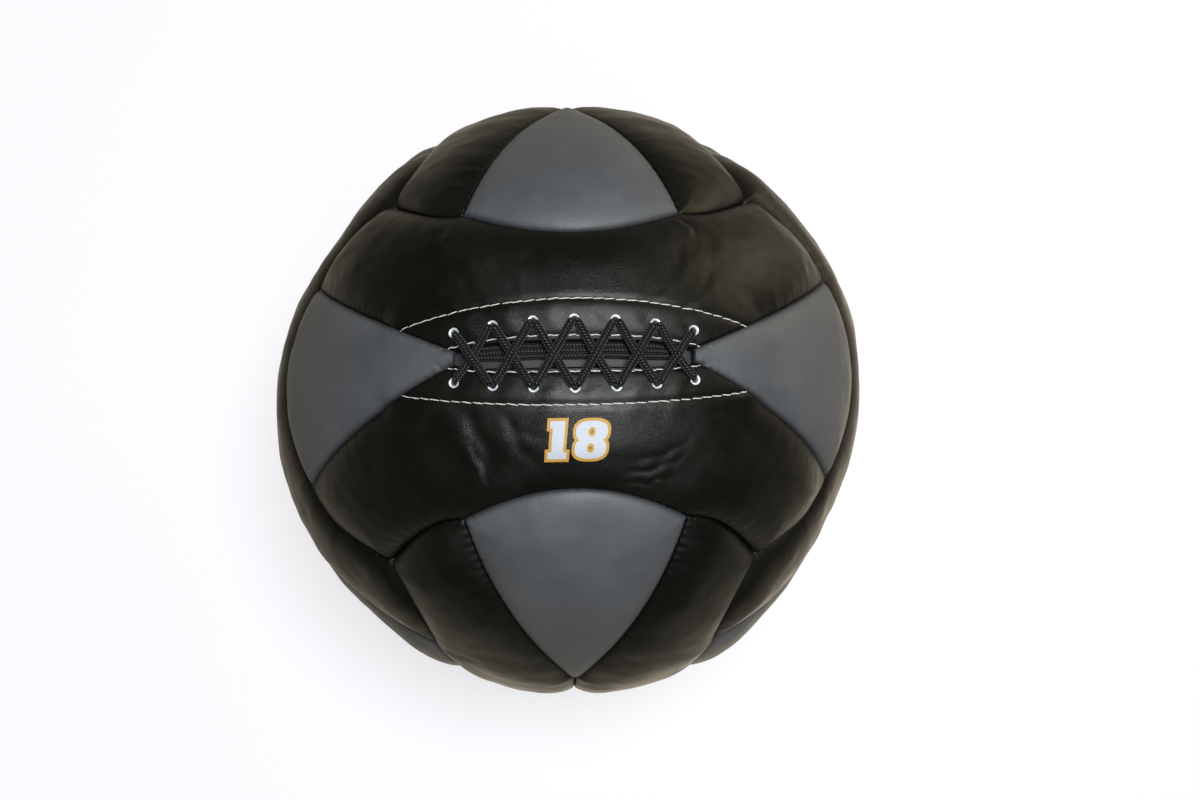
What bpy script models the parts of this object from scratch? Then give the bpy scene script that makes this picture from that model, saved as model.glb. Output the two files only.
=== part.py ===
"""Laced wall ball: a stuffed leather ball of 24 sewn panels, closed by a lace through
two rows of eyelets, with a sack of ballast at its heart.

The ball lies with its laced face up, on the patch that its weight flattens.
Metres, +Z up. The origin is on the floor, under the middle of the ball.
"""
import math

import bmesh
import bpy
import numpy as np
from mathutils import Matrix

# Ball
CROWN_RADIUS = 0.180
SETTLING = 0.005               # how far the ball's weight presses it flat where it rests
PADDING_WALL = 0.014           # from the crowns of the panels to their underside
CENTRE_HEIGHT = CROWN_RADIUS - SETTLING
CORE_RADIUS = CROWN_RADIUS - PADDING_WALL
SEAM_DEPTH = 0.0055            # how far a seam sinks below the crowns
CORNER_DEPTH = 0.0045          # how much deeper it sinks where three faces meet
SEAM_SPREAD = 0.009            # how far from a seam the panel is still drawn in
CORNER_SPREAD = 0.038
SEAM_GAP = 0.0004

# Seam pattern, as angles seen from the middle of the ball
CORNER_ANGLE = math.asin(1 / math.sqrt(3))
EDGE_ANGLE = math.radians(22.0)      # from a face's middle to the middle of its long edge
MITRE_ANGLE = math.radians(45.0)     # the same at a corner of the face
BOW_ANGLE = math.radians(2.4)        # how far the edge bows between an end panel and a corner
TIP_ANGLE = math.radians(19.7)       # from a face's middle to the tip of an end panel
END_HALF_ANGLE = math.radians(18.9)  # half the base of an end panel
END_HALF_SHARE = END_HALF_ANGLE / CORNER_ANGLE
END_BULGE_SHARE = 0.55               # how far an end panel's sides bow out
LACED_BULGE_SHARE = 0.10             # the same where the lace pulls them straight

# Laced mouth
SLIT_HALF_WIDTH = 0.0066
SLIT_DEPTH = 0.003             # how far the flaps dip at the slit
FLAP_WALL = 0.003              # two layers of leather, with no padding
FLAP_REACH = 0.040             # the unpadded border round the slit
FLAP_BLEND = 0.014
FLAT_SEAM_SHARE = 0.75         # how much shallower a seam is where there is no padding
FACING_WALL = 0.0012
FACING_GAP = 0.0008
FACING_WIDTH = 0.026           # from the slit's middle line to the facing's edge
FACING_END_WIDTH = 0.018
FACING_HALF_LENGTH = 0.076
FACING_INSET = 0.0010
TONGUE_HALF_LENGTH = 0.072
TONGUE_HALF_WIDTH = 0.0088
TONGUE_WALL = 0.0014
TONGUE_DEPTH = 0.0104          # from the crown down to the tongue's face

# Eyelets
EYELETS_IN_ROW = 7
EYELET_PITCH = 0.0205
ROW_MIDDLE_OFFSET = 0.0170     # from the slit's middle line to the row, at its middle
ROW_END_OFFSET = 0.0126
BORE_RADIUS = 0.0020
BARREL_RADIUS = 0.0024
FLANGE_RADIUS = 0.0029
FLANGE_WALL = 0.0005
HOLE_CLEARANCE = 0.0003
FLANGE_GAP = 0.0003
EYELET_PLAY = 0.0008           # room for the facets under the lower flange

# Lace
LACE_RADIUS = 0.0016
LACE_BORE_SHARE = 0.46         # the braid is squeezed to this in an eyelet
LACE_UNDER_SHARE = 0.50        # and to this under the tongue
LACE_GAP = 0.00035
LACE_SIDE_STEP = 0.00099       # each of the two strands in a bore lies this far off its axis
CROSSING_GAP = 0.0005
CLIMB_SHARE = 0.33             # how soon the upper leg of a cross rises towards the crossing
SPARE_PITCH = 0.0034
SPARE_HALF_LENGTH = 0.050
SPARE_SHARE = 0.80
LACE_POINT_STEP = 0.0080

# Places on a leg: share of the way, size, and height over the leather in flange walls
LEG_SHARES = ((0.05, 0.70, 1.5), (0.14, 1.00, 0.5), (0.32, 1.00, 0.0))
# A run under the tongue: shares of the way where it has left the bore and has reached its layer
UNDER_TURN_SHARE = 0.01
UNDER_REACH_SHARE = 0.125
# From a spare run to the first bore: pitches along, share of the row's offset, size
DIVE_RUN_SHARES = ((-1.6, 0.12, 0.70), (0.9, 0.45, 0.58))
# The hook into that bore, in radii of the squeezed lace: short of the bore, above its end
DIVE_HOOK_SHARES = ((3.2, -3.2), (0.9, -2.9), (0.0, -1.0), (0.0, 2.0))

# Inside
LINER_WALL = 0.0012
LINER_GAP = 0.0008
MOUTH_HALF_LENGTH = 0.068
MOUTH_HALF_WIDTH = 0.024
STUFFING_GAP = 0.0004
WELL_TOP_RADIUS = 0.072
WELL_FLOOR_RADIUS = 0.045
WAD_DEPTH = 0.0178             # from the crown down to the wad, under the lace
WAD_HOLLOW_RADIUS = 0.022
BAG_RADIUS = 0.080
BAG_WALL = 0.0012
BAG_NECK_RADIUS = 0.0105
BAG_WAIST_RADIUS = 0.0085
BAG_SHOULDER_RADIUS = 0.0168   # where the gathers of the neck start
BAG_NECK_RISE = 0.034          # from the top of the round sack to the end of its neck
BAG_TIE_RISE = 0.016
TIE_RADIUS = 0.0015
PIECE_GAP = 0.0004

# How finely the surfaces are divided
SHORT_COUNT = 5
LACED_COUNT = 7
BASE_COUNT = 8
LACED_EXTRA_COUNT = 2
SIDE_COUNT = 6
FINE_COUNT = 12                # steps a cell, where a seam is measured to
CROWDING_SHARE = 0.06
TIP_CROWDING_POWER = 1.45
FACING_COUNTS = (21, 3)
TONGUE_COUNTS = (15, 4)
TURNED_COUNT = 20
EYELET_COUNT = 10
MOUTH_COUNT = 24
TIE_COUNT = 6
LID_COUNT = 4
BOWL_COUNT = 12
SACK_UPPER_COUNT = 3
SACK_LOWER_COUNT = 7
SPARE_COUNT = 7
GAP_COUNT = 6
SHARP_ANGLE = math.radians(40)
MERGE_DISTANCE = 0.00001

PART = "wall_ball"
FACES = {
    "laced": ((1, 0, 0), (0, 1, 0), (0, 0, 1)),
    "rest": ((1, 0, 0), (0, -1, 0), (0, 0, -1)),
    "back": ((0, 0, 1), (1, 0, 0), (0, 1, 0)),
    "front": ((0, 0, 1), (-1, 0, 0), (0, -1, 0)),
    "right": ((0, 1, 0), (0, 0, 1), (1, 0, 0)),
    "left": ((0, 1, 0), (0, 0, -1), (-1, 0, 0)),
}
FLIP_X = np.array([-1, 1, 1])
FLIP_Y = np.array([1, -1, 1])


def clear_scene():
    for obj in list(bpy.data.objects):
        bpy.data.objects.remove(obj, do_unlink=True)
    for collection in list(bpy.data.collections):
        bpy.data.collections.remove(collection)


def make_collection(name):
    collection = bpy.data.collections.new(name)
    bpy.context.scene.collection.children.link(collection)
    return collection


def make_material(name, colour, roughness, metallic=0.0):
    material = bpy.data.materials.new(name)
    material.use_nodes = True
    shader = material.node_tree.nodes["Principled BSDF"]
    shader.inputs["Base Color"].default_value = (*colour, 1.0)
    shader.inputs["Roughness"].default_value = roughness
    shader.inputs["Metallic"].default_value = metallic
    material.diffuse_color = (*colour, 1.0)
    return material


def add_object(name, data, material=None, collection=None):
    obj = bpy.data.objects.new(name, data)
    (collection or PARTS).objects.link(obj)
    obj.parent = CENTRE
    if material and not data.materials:
        data.materials.append(material)
    return obj


def move_into(obj, name, collection):
    """Takes an object that an operator made into the part, under its own name."""
    for old in list(obj.users_collection):
        old.objects.unlink(obj)
    collection.objects.link(obj)
    obj.name = name
    obj.data.name = name
    obj.parent = CENTRE
    return obj


def make_cutter(obj):
    obj.hide_render = True
    obj.display_type = "WIRE"
    return obj


def cut(obj, cutter):
    boolean = obj.modifiers.new("cut", "BOOLEAN")
    boolean.operation = "DIFFERENCE"
    boolean.solver = "EXACT"
    boolean.object = cutter


def thicken(obj, wall):
    solidify = obj.modifiers.new("wall", "SOLIDIFY")
    solidify.thickness = wall
    solidify.offset = -1
    solidify.use_even_offset = True


def turned_mesh(name, profile, closed=False):
    """A profile of (radius, height) points, to be spun about the vertical axis."""
    count = len(profile)
    edges = [(i, (i + 1) % count) for i in range(count if closed else count - 1)]
    mesh = bpy.data.meshes.new(name)
    mesh.from_pydata([(radius, 0, height) for radius, height in profile], edges, [])
    return mesh


def spin(obj, steps=TURNED_COUNT):
    screw = obj.modifiers.new("turned", "SCREW")
    screw.steps = steps
    screw.render_steps = steps
    screw.use_merge_vertices = True
    screw.merge_threshold = MERGE_DISTANCE
    screw.use_smooth_shade = True


def unit(vectors):
    return vectors / np.linalg.norm(vectors, axis=-1, keepdims=True)


def direction(lon, lat):
    """The direction at an angle lon along a face from its middle, and lat across it."""
    return np.stack([np.cos(lat) * np.sin(lon), np.sin(lat) + 0 * lon, np.cos(lat) * np.cos(lon)], -1)


def place(along, across, radius):
    """The point a given way along and across the laced face, at a given radius."""
    lon = np.asarray(along, float) / CROWN_RADIUS
    lat = np.asarray(across, float) / CROWN_RADIUS
    return direction(lon, lat) * np.asarray(radius, float)[..., None]


# Seams, as directions in a face's own frame: x along the face, y across, z out of it

def long_edge(share):
    """The seam between two faces, from corner to corner as share goes from -1 to 1."""
    share = np.asarray(share, float)
    lat = share * CORNER_ANGLE
    past = np.clip((np.abs(share) - END_HALF_SHARE) / (1 - END_HALF_SHARE), 0, 1)
    bow = BOW_ANGLE * 4 * past * (1 - past)
    lean = EDGE_ANGLE + (MITRE_ANGLE - EDGE_ANGLE) * share ** 2 - bow
    return np.stack([np.sin(lat), np.cos(lat) * np.sin(lean), np.cos(lat) * np.cos(lean)], -1)


def short_edge(share):
    """The same seam where it closes the end of the face, with share along y."""
    return long_edge(share)[..., [2, 0, 1]]


def end_side(share, bulge):
    """One side of an end panel, from its tip to its base."""
    share = np.asarray(share, float)
    corner = short_edge(END_HALF_SHARE)
    lon = TIP_ANGLE + (math.atan2(corner[0], corner[2]) - TIP_ANGLE) * share
    lat = math.asin(corner[1]) * (share + bulge * share * (1 - share))
    return direction(lon, lat)


def slit_half_width(along):
    """Half the opening between the flaps: blunt at its ends, as the lace draws it."""
    share = np.clip(np.abs(along) / (TIP_ANGLE * CROWN_RADIUS), 0, 1)
    return SLIT_HALF_WIDTH * np.sqrt(1 - share ** 4)


def middle_seam(share, open_slit):
    """The seam or slit between two tips, as share goes from -1 to 1."""
    along = share * TIP_ANGLE * CROWN_RADIUS
    across = slit_half_width(along) if open_slit else 0 * along
    return direction(along / CROWN_RADIUS, across / CROWN_RADIUS)


def crowded(cells):
    """Shares from 0 to 1 that lie closer together near both ends."""
    share = np.linspace(0, 1, cells + 1)
    return share - CROWDING_SHARE * np.sin(2 * math.pi * share)


def side_shares(laced, finer=1):
    """Where an end panel's sides are divided: closer to the tip where a flap lies beside it."""
    share = np.linspace(0, 1, SIDE_COUNT * finer + 1)
    return share ** TIP_CROWDING_POWER if laced else share


def long_panel_border(laced, finer=1):
    """Inner and outer edge and both ends of a long panel, as four runs of directions."""
    bulge = LACED_BULGE_SHARE if laced else END_BULGE_SHARE
    cells = LACED_COUNT if laced else SHORT_COUNT
    base_cells = BASE_COUNT + (LACED_EXTRA_COUNT if laced else 0)
    short = crowded(cells * finer)
    outer_right = long_edge(END_HALF_SHARE + (1 - END_HALF_SHARE) * short)
    base = long_edge(np.linspace(-END_HALF_SHARE, END_HALF_SHARE, base_cells * finer + 1))
    outer = np.vstack([(outer_right * FLIP_X)[:0:-1], base, outer_right[1:]])
    side = end_side(side_shares(laced, finer), bulge)
    middle_cells = (2 * cells + base_cells - 2 * SIDE_COUNT) * finer
    middle = middle_seam(np.linspace(-1, 1, middle_cells + 1), laced)
    inner = np.vstack([(side * FLIP_X)[:0:-1], middle, side[1:]])
    right = short_edge(END_HALF_SHARE + (1 - END_HALF_SHARE) * short)
    return inner, outer, right * FLIP_X, right


def fill_patch(inner, outer, left, right):
    """A grid of directions between four border runs: each pair is blended, less the corners."""
    def travel(run):
        steps = np.linalg.norm(np.diff(run, axis=0), axis=1)
        return np.concatenate([[0], np.cumsum(steps)]) / steps.sum()
    u = ((travel(inner) + travel(outer)) / 2)[:, None, None]
    v = travel(left)[None, :, None]
    ruled = (1 - v) * inner[:, None] + v * outer[:, None] + (1 - u) * left[None] + u * right[None]
    corners = ((1 - u) * (1 - v) * inner[0] + u * (1 - v) * inner[-1]
               + (1 - u) * v * outer[0] + u * v * outer[-1])
    return unit(ruled - corners)


def inset_loop(loop, distance):
    """Moves a closed run of directions inwards over the sphere, with mitred corners."""
    edges = np.roll(loop, -1, axis=0) - loop
    inward = unit(np.cross(loop, edges))
    before = np.roll(inward, 1, axis=0)
    mitre = (inward + before) / (1 + (inward * before).sum(1, keepdims=True))
    return unit(loop + mitre * distance)


def grid_border(rows, columns):
    """Indices of a grid's border, once round."""
    loop = [(i, 0) for i in range(rows)]
    loop += [(rows - 1, j) for j in range(1, columns)]
    loop += [(i, columns - 1) for i in range(rows - 2, -1, -1)]
    loop += [(0, j) for j in range(columns - 2, 0, -1)]
    return loop


# Relief of the cover

def nearest(directions, run):
    """Distance over the crown from each direction to a run of directions."""
    closest = (directions.reshape(-1, 3) @ run.T).max(1)
    return (np.arccos(np.clip(closest, -1, 1)) * CROWN_RADIUS).reshape(directions.shape[:-1])


def drawn_in(directions, seams):
    """How far the surface lies below the crown, next to its seams."""
    corners = np.abs(directions).sum(-1) / math.sqrt(3)
    corner_way = np.arccos(np.clip(corners, -1, 1)) * CROWN_RADIUS
    depth = SEAM_DEPTH + CORNER_DEPTH * np.exp(-(corner_way / CORNER_SPREAD) ** 2)
    return depth * np.exp(-nearest(directions, seams) / SEAM_SPREAD)


def padding_share(directions):
    """0 in the unpadded border round the slit, 1 where the cover is fully padded."""
    along = np.arctan2(directions[..., 0], directions[..., 2]) * CROWN_RADIUS
    across = np.arcsin(np.clip(directions[..., 1], -1, 1)) * CROWN_RADIUS
    past = np.maximum(np.abs(along) - TIP_ANGLE * CROWN_RADIUS, 0)
    share = np.clip((np.hypot(past, across) - FLAP_REACH) / FLAP_BLEND, 0, 1)
    return share * share * (3 - 2 * share)


def flattened_depth(depth, directions):
    """The same depth made shallower where the cover has no padding."""
    return depth * (1 - FLAT_SEAM_SHARE * (1 - padding_share(directions)))


def laced_radius(directions):
    """Outer radius of a flap: it dips a little at the slit, and at its seams as elsewhere."""
    inner, outer, left, right = long_panel_border(True, FINE_COUNT)
    on_slit = np.abs(np.arctan2(inner[:, 0], inner[:, 2])) <= TIP_ANGLE
    folded = directions.copy()
    folded[..., 1] = np.abs(folded[..., 1])
    seams = drawn_in(folded, np.vstack([inner[~on_slit], outer, left, right]))
    slit = SLIT_DEPTH * np.exp(-nearest(folded, inner[on_slit]) / SEAM_SPREAD)
    return CROWN_RADIUS - np.hypot(flattened_depth(seams, directions), slit)


def flap_radius(along, across):
    ones = np.ones_like(np.asarray(along + across, float))
    return laced_radius(place(along, across, ones))


def laced_underside(radius, directions):
    """Under a flap the wall is thin, and past its border the padding starts."""
    thin = radius - FLAP_WALL
    return thin + (CORE_RADIUS - thin) * padding_share(directions)


# Cover panels

def panel_mesh(name, outside, inside):
    """A padded panel: an outer and an inner grid of points, joined along their border."""
    rows, columns = outside.shape[:2]
    bm = bmesh.new()
    top = [[bm.verts.new(point) for point in row] for row in outside]
    under = [[bm.verts.new(point) for point in row] for row in inside]
    for i in range(rows - 1):
        for j in range(columns - 1):
            bm.faces.new((top[i][j], top[i + 1][j], top[i + 1][j + 1], top[i][j + 1]))
            bm.faces.new((under[i][j + 1], under[i + 1][j + 1], under[i + 1][j], under[i][j]))
    border = grid_border(rows, columns)
    for (i, j), (k, l) in zip(border, border[1:] + border[:1]):
        bm.faces.new((top[k][l], top[i][j], under[i][j], under[k][l]))
    bmesh.ops.remove_doubles(bm, verts=bm.verts, dist=MERGE_DISTANCE)
    bmesh.ops.recalc_face_normals(bm, faces=bm.faces)
    mesh = bpy.data.meshes.new(name)
    bm.to_mesh(mesh)
    bm.free()
    mesh.shade_smooth()
    mesh.set_sharp_from_angle(angle=SHARP_ANGLE)
    return mesh


def long_panel_mesh(name, laced=False, flattened=False):
    """Half of a face's middle: its inner edge is the slit or seam, its outer edge another face."""
    grid = fill_patch(*long_panel_border(laced))
    if laced:
        radius = laced_radius(grid)
        under = laced_underside(radius, grid)
    else:
        radius = CROWN_RADIUS - drawn_in(grid, np.vstack(long_panel_border(laced, FINE_COUNT)))
        under = np.full(radius.shape, CORE_RADIUS)
    border = tuple(np.array(grid_border(*radius.shape)).T)
    grid[border] = inset_loop(grid[border], SEAM_GAP / 2 / CORE_RADIUS)
    outside = grid * radius[..., None]
    if flattened:
        outside[..., 2] = np.minimum(outside[..., 2], CENTRE_HEIGHT)
    return panel_mesh(name, outside, grid * under[..., None])


def end_panel_mesh(name, laced=False):
    """The three-sided panel at a face's end, with a row of points for each step from its tip."""
    bulge = LACED_BULGE_SHARE if laced else END_BULGE_SHARE
    shares = side_shares(laced)
    side = end_side(shares, bulge)
    base = short_edge(np.linspace(-END_HALF_SHARE, END_HALF_SHARE, BASE_COUNT + 1))
    side_lon = np.arctan2(side[:, 0], side[:, 2])[:, None]
    side_lat = np.arcsin(side[:, 1])[:, None]
    base_lon = np.arctan2(base[:, 0], base[:, 2])
    bow = (base_lon - base_lon[0])[None] * shares[:, None] ** 2
    grid = direction(side_lon + bow, side_lat * np.linspace(-1, 1, BASE_COUNT + 1)[None])
    grid[-1] = base
    fine_side = end_side(side_shares(laced, FINE_COUNT), bulge)
    fine_base = short_edge(np.linspace(-END_HALF_SHARE, END_HALF_SHARE, BASE_COUNT * FINE_COUNT + 1))
    depth = drawn_in(grid, np.vstack([fine_side, fine_side * FLIP_Y, fine_base]))
    if laced:
        radius = CROWN_RADIUS - flattened_depth(depth, grid)
        under = laced_underside(radius, grid)
    else:
        radius = CROWN_RADIUS - depth
        under = np.full(radius.shape, CORE_RADIUS)
    loop = np.vstack([side, base[-2::-1], (side * FLIP_Y)[-2:0:-1]])
    moved = inset_loop(loop, -SEAM_GAP / 2 / CORE_RADIUS)
    turns = np.cumsum([SIDE_COUNT, BASE_COUNT])
    grid[0] = moved[0]
    grid[1:, -1] = moved[1:turns[0] + 1]
    grid[-1, ::-1] = moved[turns[0]:turns[1] + 1]
    grid[1:, 0] = moved[turns[1]:][::-1]
    return panel_mesh(name, grid * radius[..., None], grid * under[..., None])


def turn(axes):
    """The rotation that takes a face's own frame to the face's place on the ball."""
    return Matrix(tuple(zip(*axes))).to_4x4()


def add_cover(black, grey):
    """Two long and two end panels on each of the six faces, which meet at right angles."""
    meshes = {
        "long": long_panel_mesh("long_panel"),
        "end": end_panel_mesh("end_panel"),
        "laced_long": long_panel_mesh("laced_long_panel", laced=True),
        "laced_end": end_panel_mesh("laced_end_panel", laced=True),
        "rest_long": long_panel_mesh("rest_long_panel", flattened=True),
    }
    panels = {}
    for face, axes in FACES.items():
        for side in (1, 2):
            half_turn = Matrix.Rotation(math.pi * (side - 1), 4, "Z")
            for kind, material in (("long", black), ("end", grey)):
                name = f"{face}_{kind}_panel_{side}"
                panels[name] = add_object(name, meshes.get(f"{face}_{kind}", meshes[kind]), material)
                panels[name].matrix_local = turn(axes) @ half_turn
    return panels


# Laced mouth

def eyelet_spots():
    """Row, number and place of each eyelet, as distances along and across the laced face."""
    middle = (EYELETS_IN_ROW - 1) / 2
    spots = []
    for row in (1, -1):
        for k in range(EYELETS_IN_ROW):
            drop = ((k - middle) / middle) ** 2
            across = ROW_MIDDLE_OFFSET + (ROW_END_OFFSET - ROW_MIDDLE_OFFSET) * drop
            spots.append((row, k, (k - middle) * EYELET_PITCH, row * across))
    return spots


def standing_matrix(along, across, radius):
    """Stands a piece on the laced face: its z points out of the ball, its x along the slit."""
    out = place(along, across, 1.0)
    side = unit(np.cross((0, 1, 0), out))
    back = np.cross(out, side)
    turned = Matrix(np.array([side, back, out]).T.tolist()).to_4x4()
    return Matrix.Translation(out * radius) @ turned


def add_hole_cutter():
    """One cutter with a pin for each eyelet hole."""
    reach = FLAP_WALL + FACING_WALL + FACING_GAP
    radius = BARREL_RADIUS + HOLE_CLEARANCE
    bm = bmesh.new()
    for _, _, along, across in eyelet_spots():
        middle = float(flap_radius(along, across)) - reach / 2
        bmesh.ops.create_cone(
            bm, cap_ends=True, segments=EYELET_COUNT, radius1=radius, radius2=radius,
            depth=2 * reach, matrix=standing_matrix(along, across, middle))
    mesh = bpy.data.meshes.new("eyelet_holes")
    bm.to_mesh(mesh)
    bm.free()
    return make_cutter(add_object("eyelet_holes", mesh, collection=CUTTERS))


def sheet_mesh(name, points):
    """An open curved sheet on a grid of points, facing out of the ball."""
    rows, columns = points.shape[:2]
    index = np.arange(rows * columns).reshape(rows, columns)
    quads = np.stack([index[:-1, :-1], index[1:, :-1], index[1:, 1:], index[:-1, 1:]], -1)
    mesh = bpy.data.meshes.new(name)
    mesh.from_pydata(points.reshape(-1, 3).tolist(), [], quads.reshape(-1, 4).tolist())
    return mesh


def add_facing(name, side, cutter, material):
    """The reinforcing strip under one flap, which the eyelets clench."""
    along = np.linspace(-FACING_HALF_LENGTH, FACING_HALF_LENGTH, FACING_COUNTS[0])[:, None]
    tip = TIP_ANGLE * CROWN_RADIUS
    corner = end_side(1.0, LACED_BULGE_SHARE)
    far = math.atan2(corner[0], corner[2]) * CROWN_RADIUS
    past = np.clip((np.abs(along) - tip) / (far - tip), 0, 1)
    seam = np.arcsin(end_side(past, LACED_BULGE_SHARE)[..., 1]) * CROWN_RADIUS
    near = slit_half_width(along) * (np.abs(along) < tip) + seam + FACING_INSET
    narrowing = (FACING_WIDTH - FACING_END_WIDTH) * (along / FACING_HALF_LENGTH) ** 2
    across = near + (FACING_WIDTH - narrowing - near) * np.linspace(0, 1, FACING_COUNTS[1])
    along = along + 0 * across
    radius = flap_radius(along, across) - FLAP_WALL - FACING_GAP
    obj = add_object(name, sheet_mesh(name, place(along, across, radius)), material)
    obj.matrix_local = Matrix.Rotation(math.pi * (side - 1), 4, "Z")
    thicken(obj, FACING_WALL)
    cut(obj, cutter)


def add_tongue(material):
    """The strip of leather behind the slit, which keeps the lace off the liner."""
    along = np.linspace(-TONGUE_HALF_LENGTH, TONGUE_HALF_LENGTH, TONGUE_COUNTS[0])[:, None]
    across = np.linspace(-TONGUE_HALF_WIDTH, TONGUE_HALF_WIDTH, TONGUE_COUNTS[1])[None]
    along, across = np.broadcast_arrays(along, across)
    points = place(along, across, np.full(along.shape, CROWN_RADIUS - TONGUE_DEPTH))
    obj = add_object("tongue", sheet_mesh("tongue", points), material)
    thicken(obj, TONGUE_WALL)


def eyelet_levels(along, across):
    """Radii of an eyelet's lower and upper end."""
    face = float(flap_radius(along, across))
    top = face + FLANGE_GAP + FLANGE_WALL
    stack = FLAP_WALL + FACING_GAP + FACING_WALL
    bottom = face - stack - FLANGE_GAP - EYELET_PLAY - FLANGE_WALL
    return bottom, top


def add_eyelets(material):
    """Rolled tubes with a flange on the leather and one clenched under the facing."""
    for row, k, along, across in eyelet_spots():
        bottom, top = eyelet_levels(along, across)
        low = bottom - top
        profile = [
            (BORE_RADIUS, -FLANGE_WALL / 3), (FLANGE_RADIUS - FLANGE_WALL, 0),
            (FLANGE_RADIUS, -FLANGE_WALL), (BARREL_RADIUS, -FLANGE_WALL),
            (BARREL_RADIUS, low + FLANGE_WALL), (FLANGE_RADIUS, low + FLANGE_WALL),
            (FLANGE_RADIUS, low), (BORE_RADIUS, low),
        ]
        name = f"eyelet_{'upper' if row > 0 else 'lower'}_{k + 1}"
        obj = add_object(name, turned_mesh(name, profile, closed=True), material)
        obj.matrix_local = standing_matrix(along, across, top)
        spin(obj, EYELET_COUNT)


# Lace: its route is a list of (along, across, radius, size)

def lace_leg(start, end, crossing):
    """One leg over the slit, out of one bore and down into another."""
    (x0, y0), (x1, y1) = start, end
    middle = y0 / (y0 - y1)
    half = list(LEG_SHARES)
    points = [(x0, y0, eyelet_levels(x0, y0)[1], LACE_BORE_SHARE)]
    for way, size, rise in half + [(middle, 1, 0)] + [(1 - w, s, r) for w, s, r in half[::-1]]:
        x, y = x0 + (x1 - x0) * way, y0 + (y1 - y0) * way
        leather = max(float(flap_radius(x, y)), float(flap_radius(x, slit_half_width(x))))
        radius = leather + LACE_GAP + LACE_RADIUS + rise * FLANGE_WALL
        if way == middle:
            radius = crossing
        elif rise == 0:
            radius += CLIMB_SHARE * max(0, crossing - radius)
        points.append((x, y, radius, size))
    points.append((x1, y1, eyelet_levels(x1, y1)[1], LACE_BORE_SHARE))
    return points


def lace_under(start, end, layer):
    """One run under the tongue, from the bottom of one bore to the bottom of the other."""
    (x0, y0), (x1, y1) = start, end
    bottom = min(eyelet_levels(*start)[0], eyelet_levels(*end)[0])
    squeezed = LACE_RADIUS * LACE_BORE_SHARE
    half = [
        (0, bottom + 2 * squeezed, LACE_BORE_SHARE),
        (UNDER_TURN_SHARE, bottom - 2 * squeezed, LACE_BORE_SHARE),
        (UNDER_REACH_SHARE, layer, LACE_UNDER_SHARE),
    ]
    points = []
    middle = [(1 / 2, layer, LACE_UNDER_SHARE)]
    for way, radius, size in half + middle + [(1 - w, r, s) for w, r, s in half[::-1]]:
        swing = np.clip((way - UNDER_REACH_SHARE) / (1 - 2 * UNDER_REACH_SHARE), 0, 1)
        points.append((x0 + (x1 - x0) * swing, y0 + (y1 - y0) * way, radius, size))
    return points


def lace_dive(x, y, spare):
    """From the left end of a spare run, at a given radius, up into the first bore of a row."""
    bottom = eyelet_levels(x, y)[0]
    squeezed = LACE_RADIUS * LACE_BORE_SHARE
    starts = (-SPARE_HALF_LENGTH, x)
    points = [(start + pitches * SPARE_PITCH, y * share, spare, size)
              for start, (pitches, share, size) in zip(starts, DIVE_RUN_SHARES)]
    points += [(x, y - math.copysign(short, y) * squeezed, bottom + above * squeezed, LACE_BORE_SHARE)
               for short, above in DIVE_HOOK_SHARES]
    return points


def lace_route():
    """The whole lace: a spare run in the slit, a spiral to the right, one back, two spare runs."""
    spots = {(row, k): (along, across) for row, k, along, across in eyelet_spots()}
    last = EYELETS_IN_ROW - 1

    def bore(row, k, side):
        along, across = spots[row, k]
        return along + side * LACE_SIDE_STEP, across

    tongue_face = CROWN_RADIUS - TONGUE_DEPTH
    spare = tongue_face + LACE_GAP + LACE_RADIUS * SPARE_SHARE
    first_layer = tongue_face - TONGUE_WALL - LACE_GAP - LACE_RADIUS * LACE_UNDER_SHARE
    second_layer = first_layer - 2 * LACE_RADIUS * LACE_UNDER_SHARE - CROSSING_GAP
    low = float(flap_radius(0.0, SLIT_HALF_WIDTH)) + LACE_GAP
    high = low + 2 * LACE_RADIUS + 2 * CROSSING_GAP

    def spare_run(start, end, lane):
        return [(x, lane * SPARE_PITCH, spare, SPARE_SHARE)
                for x in np.linspace(start, end, SPARE_COUNT) * SPARE_HALF_LENGTH]

    route = spare_run(1, -1, 1)
    route += lace_dive(*bore(1, 0, 1), spare)
    for k in range(last):
        route += lace_leg(bore(1, k, 1), bore(-1, k + 1, -1), high if k == 0 else low)
        if k + 1 < last:
            route += lace_under(bore(-1, k + 1, -1), bore(1, k + 1, 1), first_layer)
    route += lace_under(bore(-1, last, -1), bore(1, last, -1), first_layer)
    for k in range(last, 0, -1):
        route += lace_leg(bore(1, k, -1), bore(-1, k - 1, 1), low if k == 1 else high)
        if k - 1 > 0:
            route += lace_under(bore(-1, k - 1, 1), bore(1, k - 1, -1), second_layer)
    route += lace_dive(*bore(-1, 0, 1), spare)[::-1]
    route += spare_run(-1, 1, -1)
    bend = SPARE_HALF_LENGTH + SPARE_PITCH / 2
    route += [(bend, -SPARE_PITCH / 2, spare, SPARE_SHARE)]
    route += spare_run(1, -1, 0)
    return route


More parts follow.
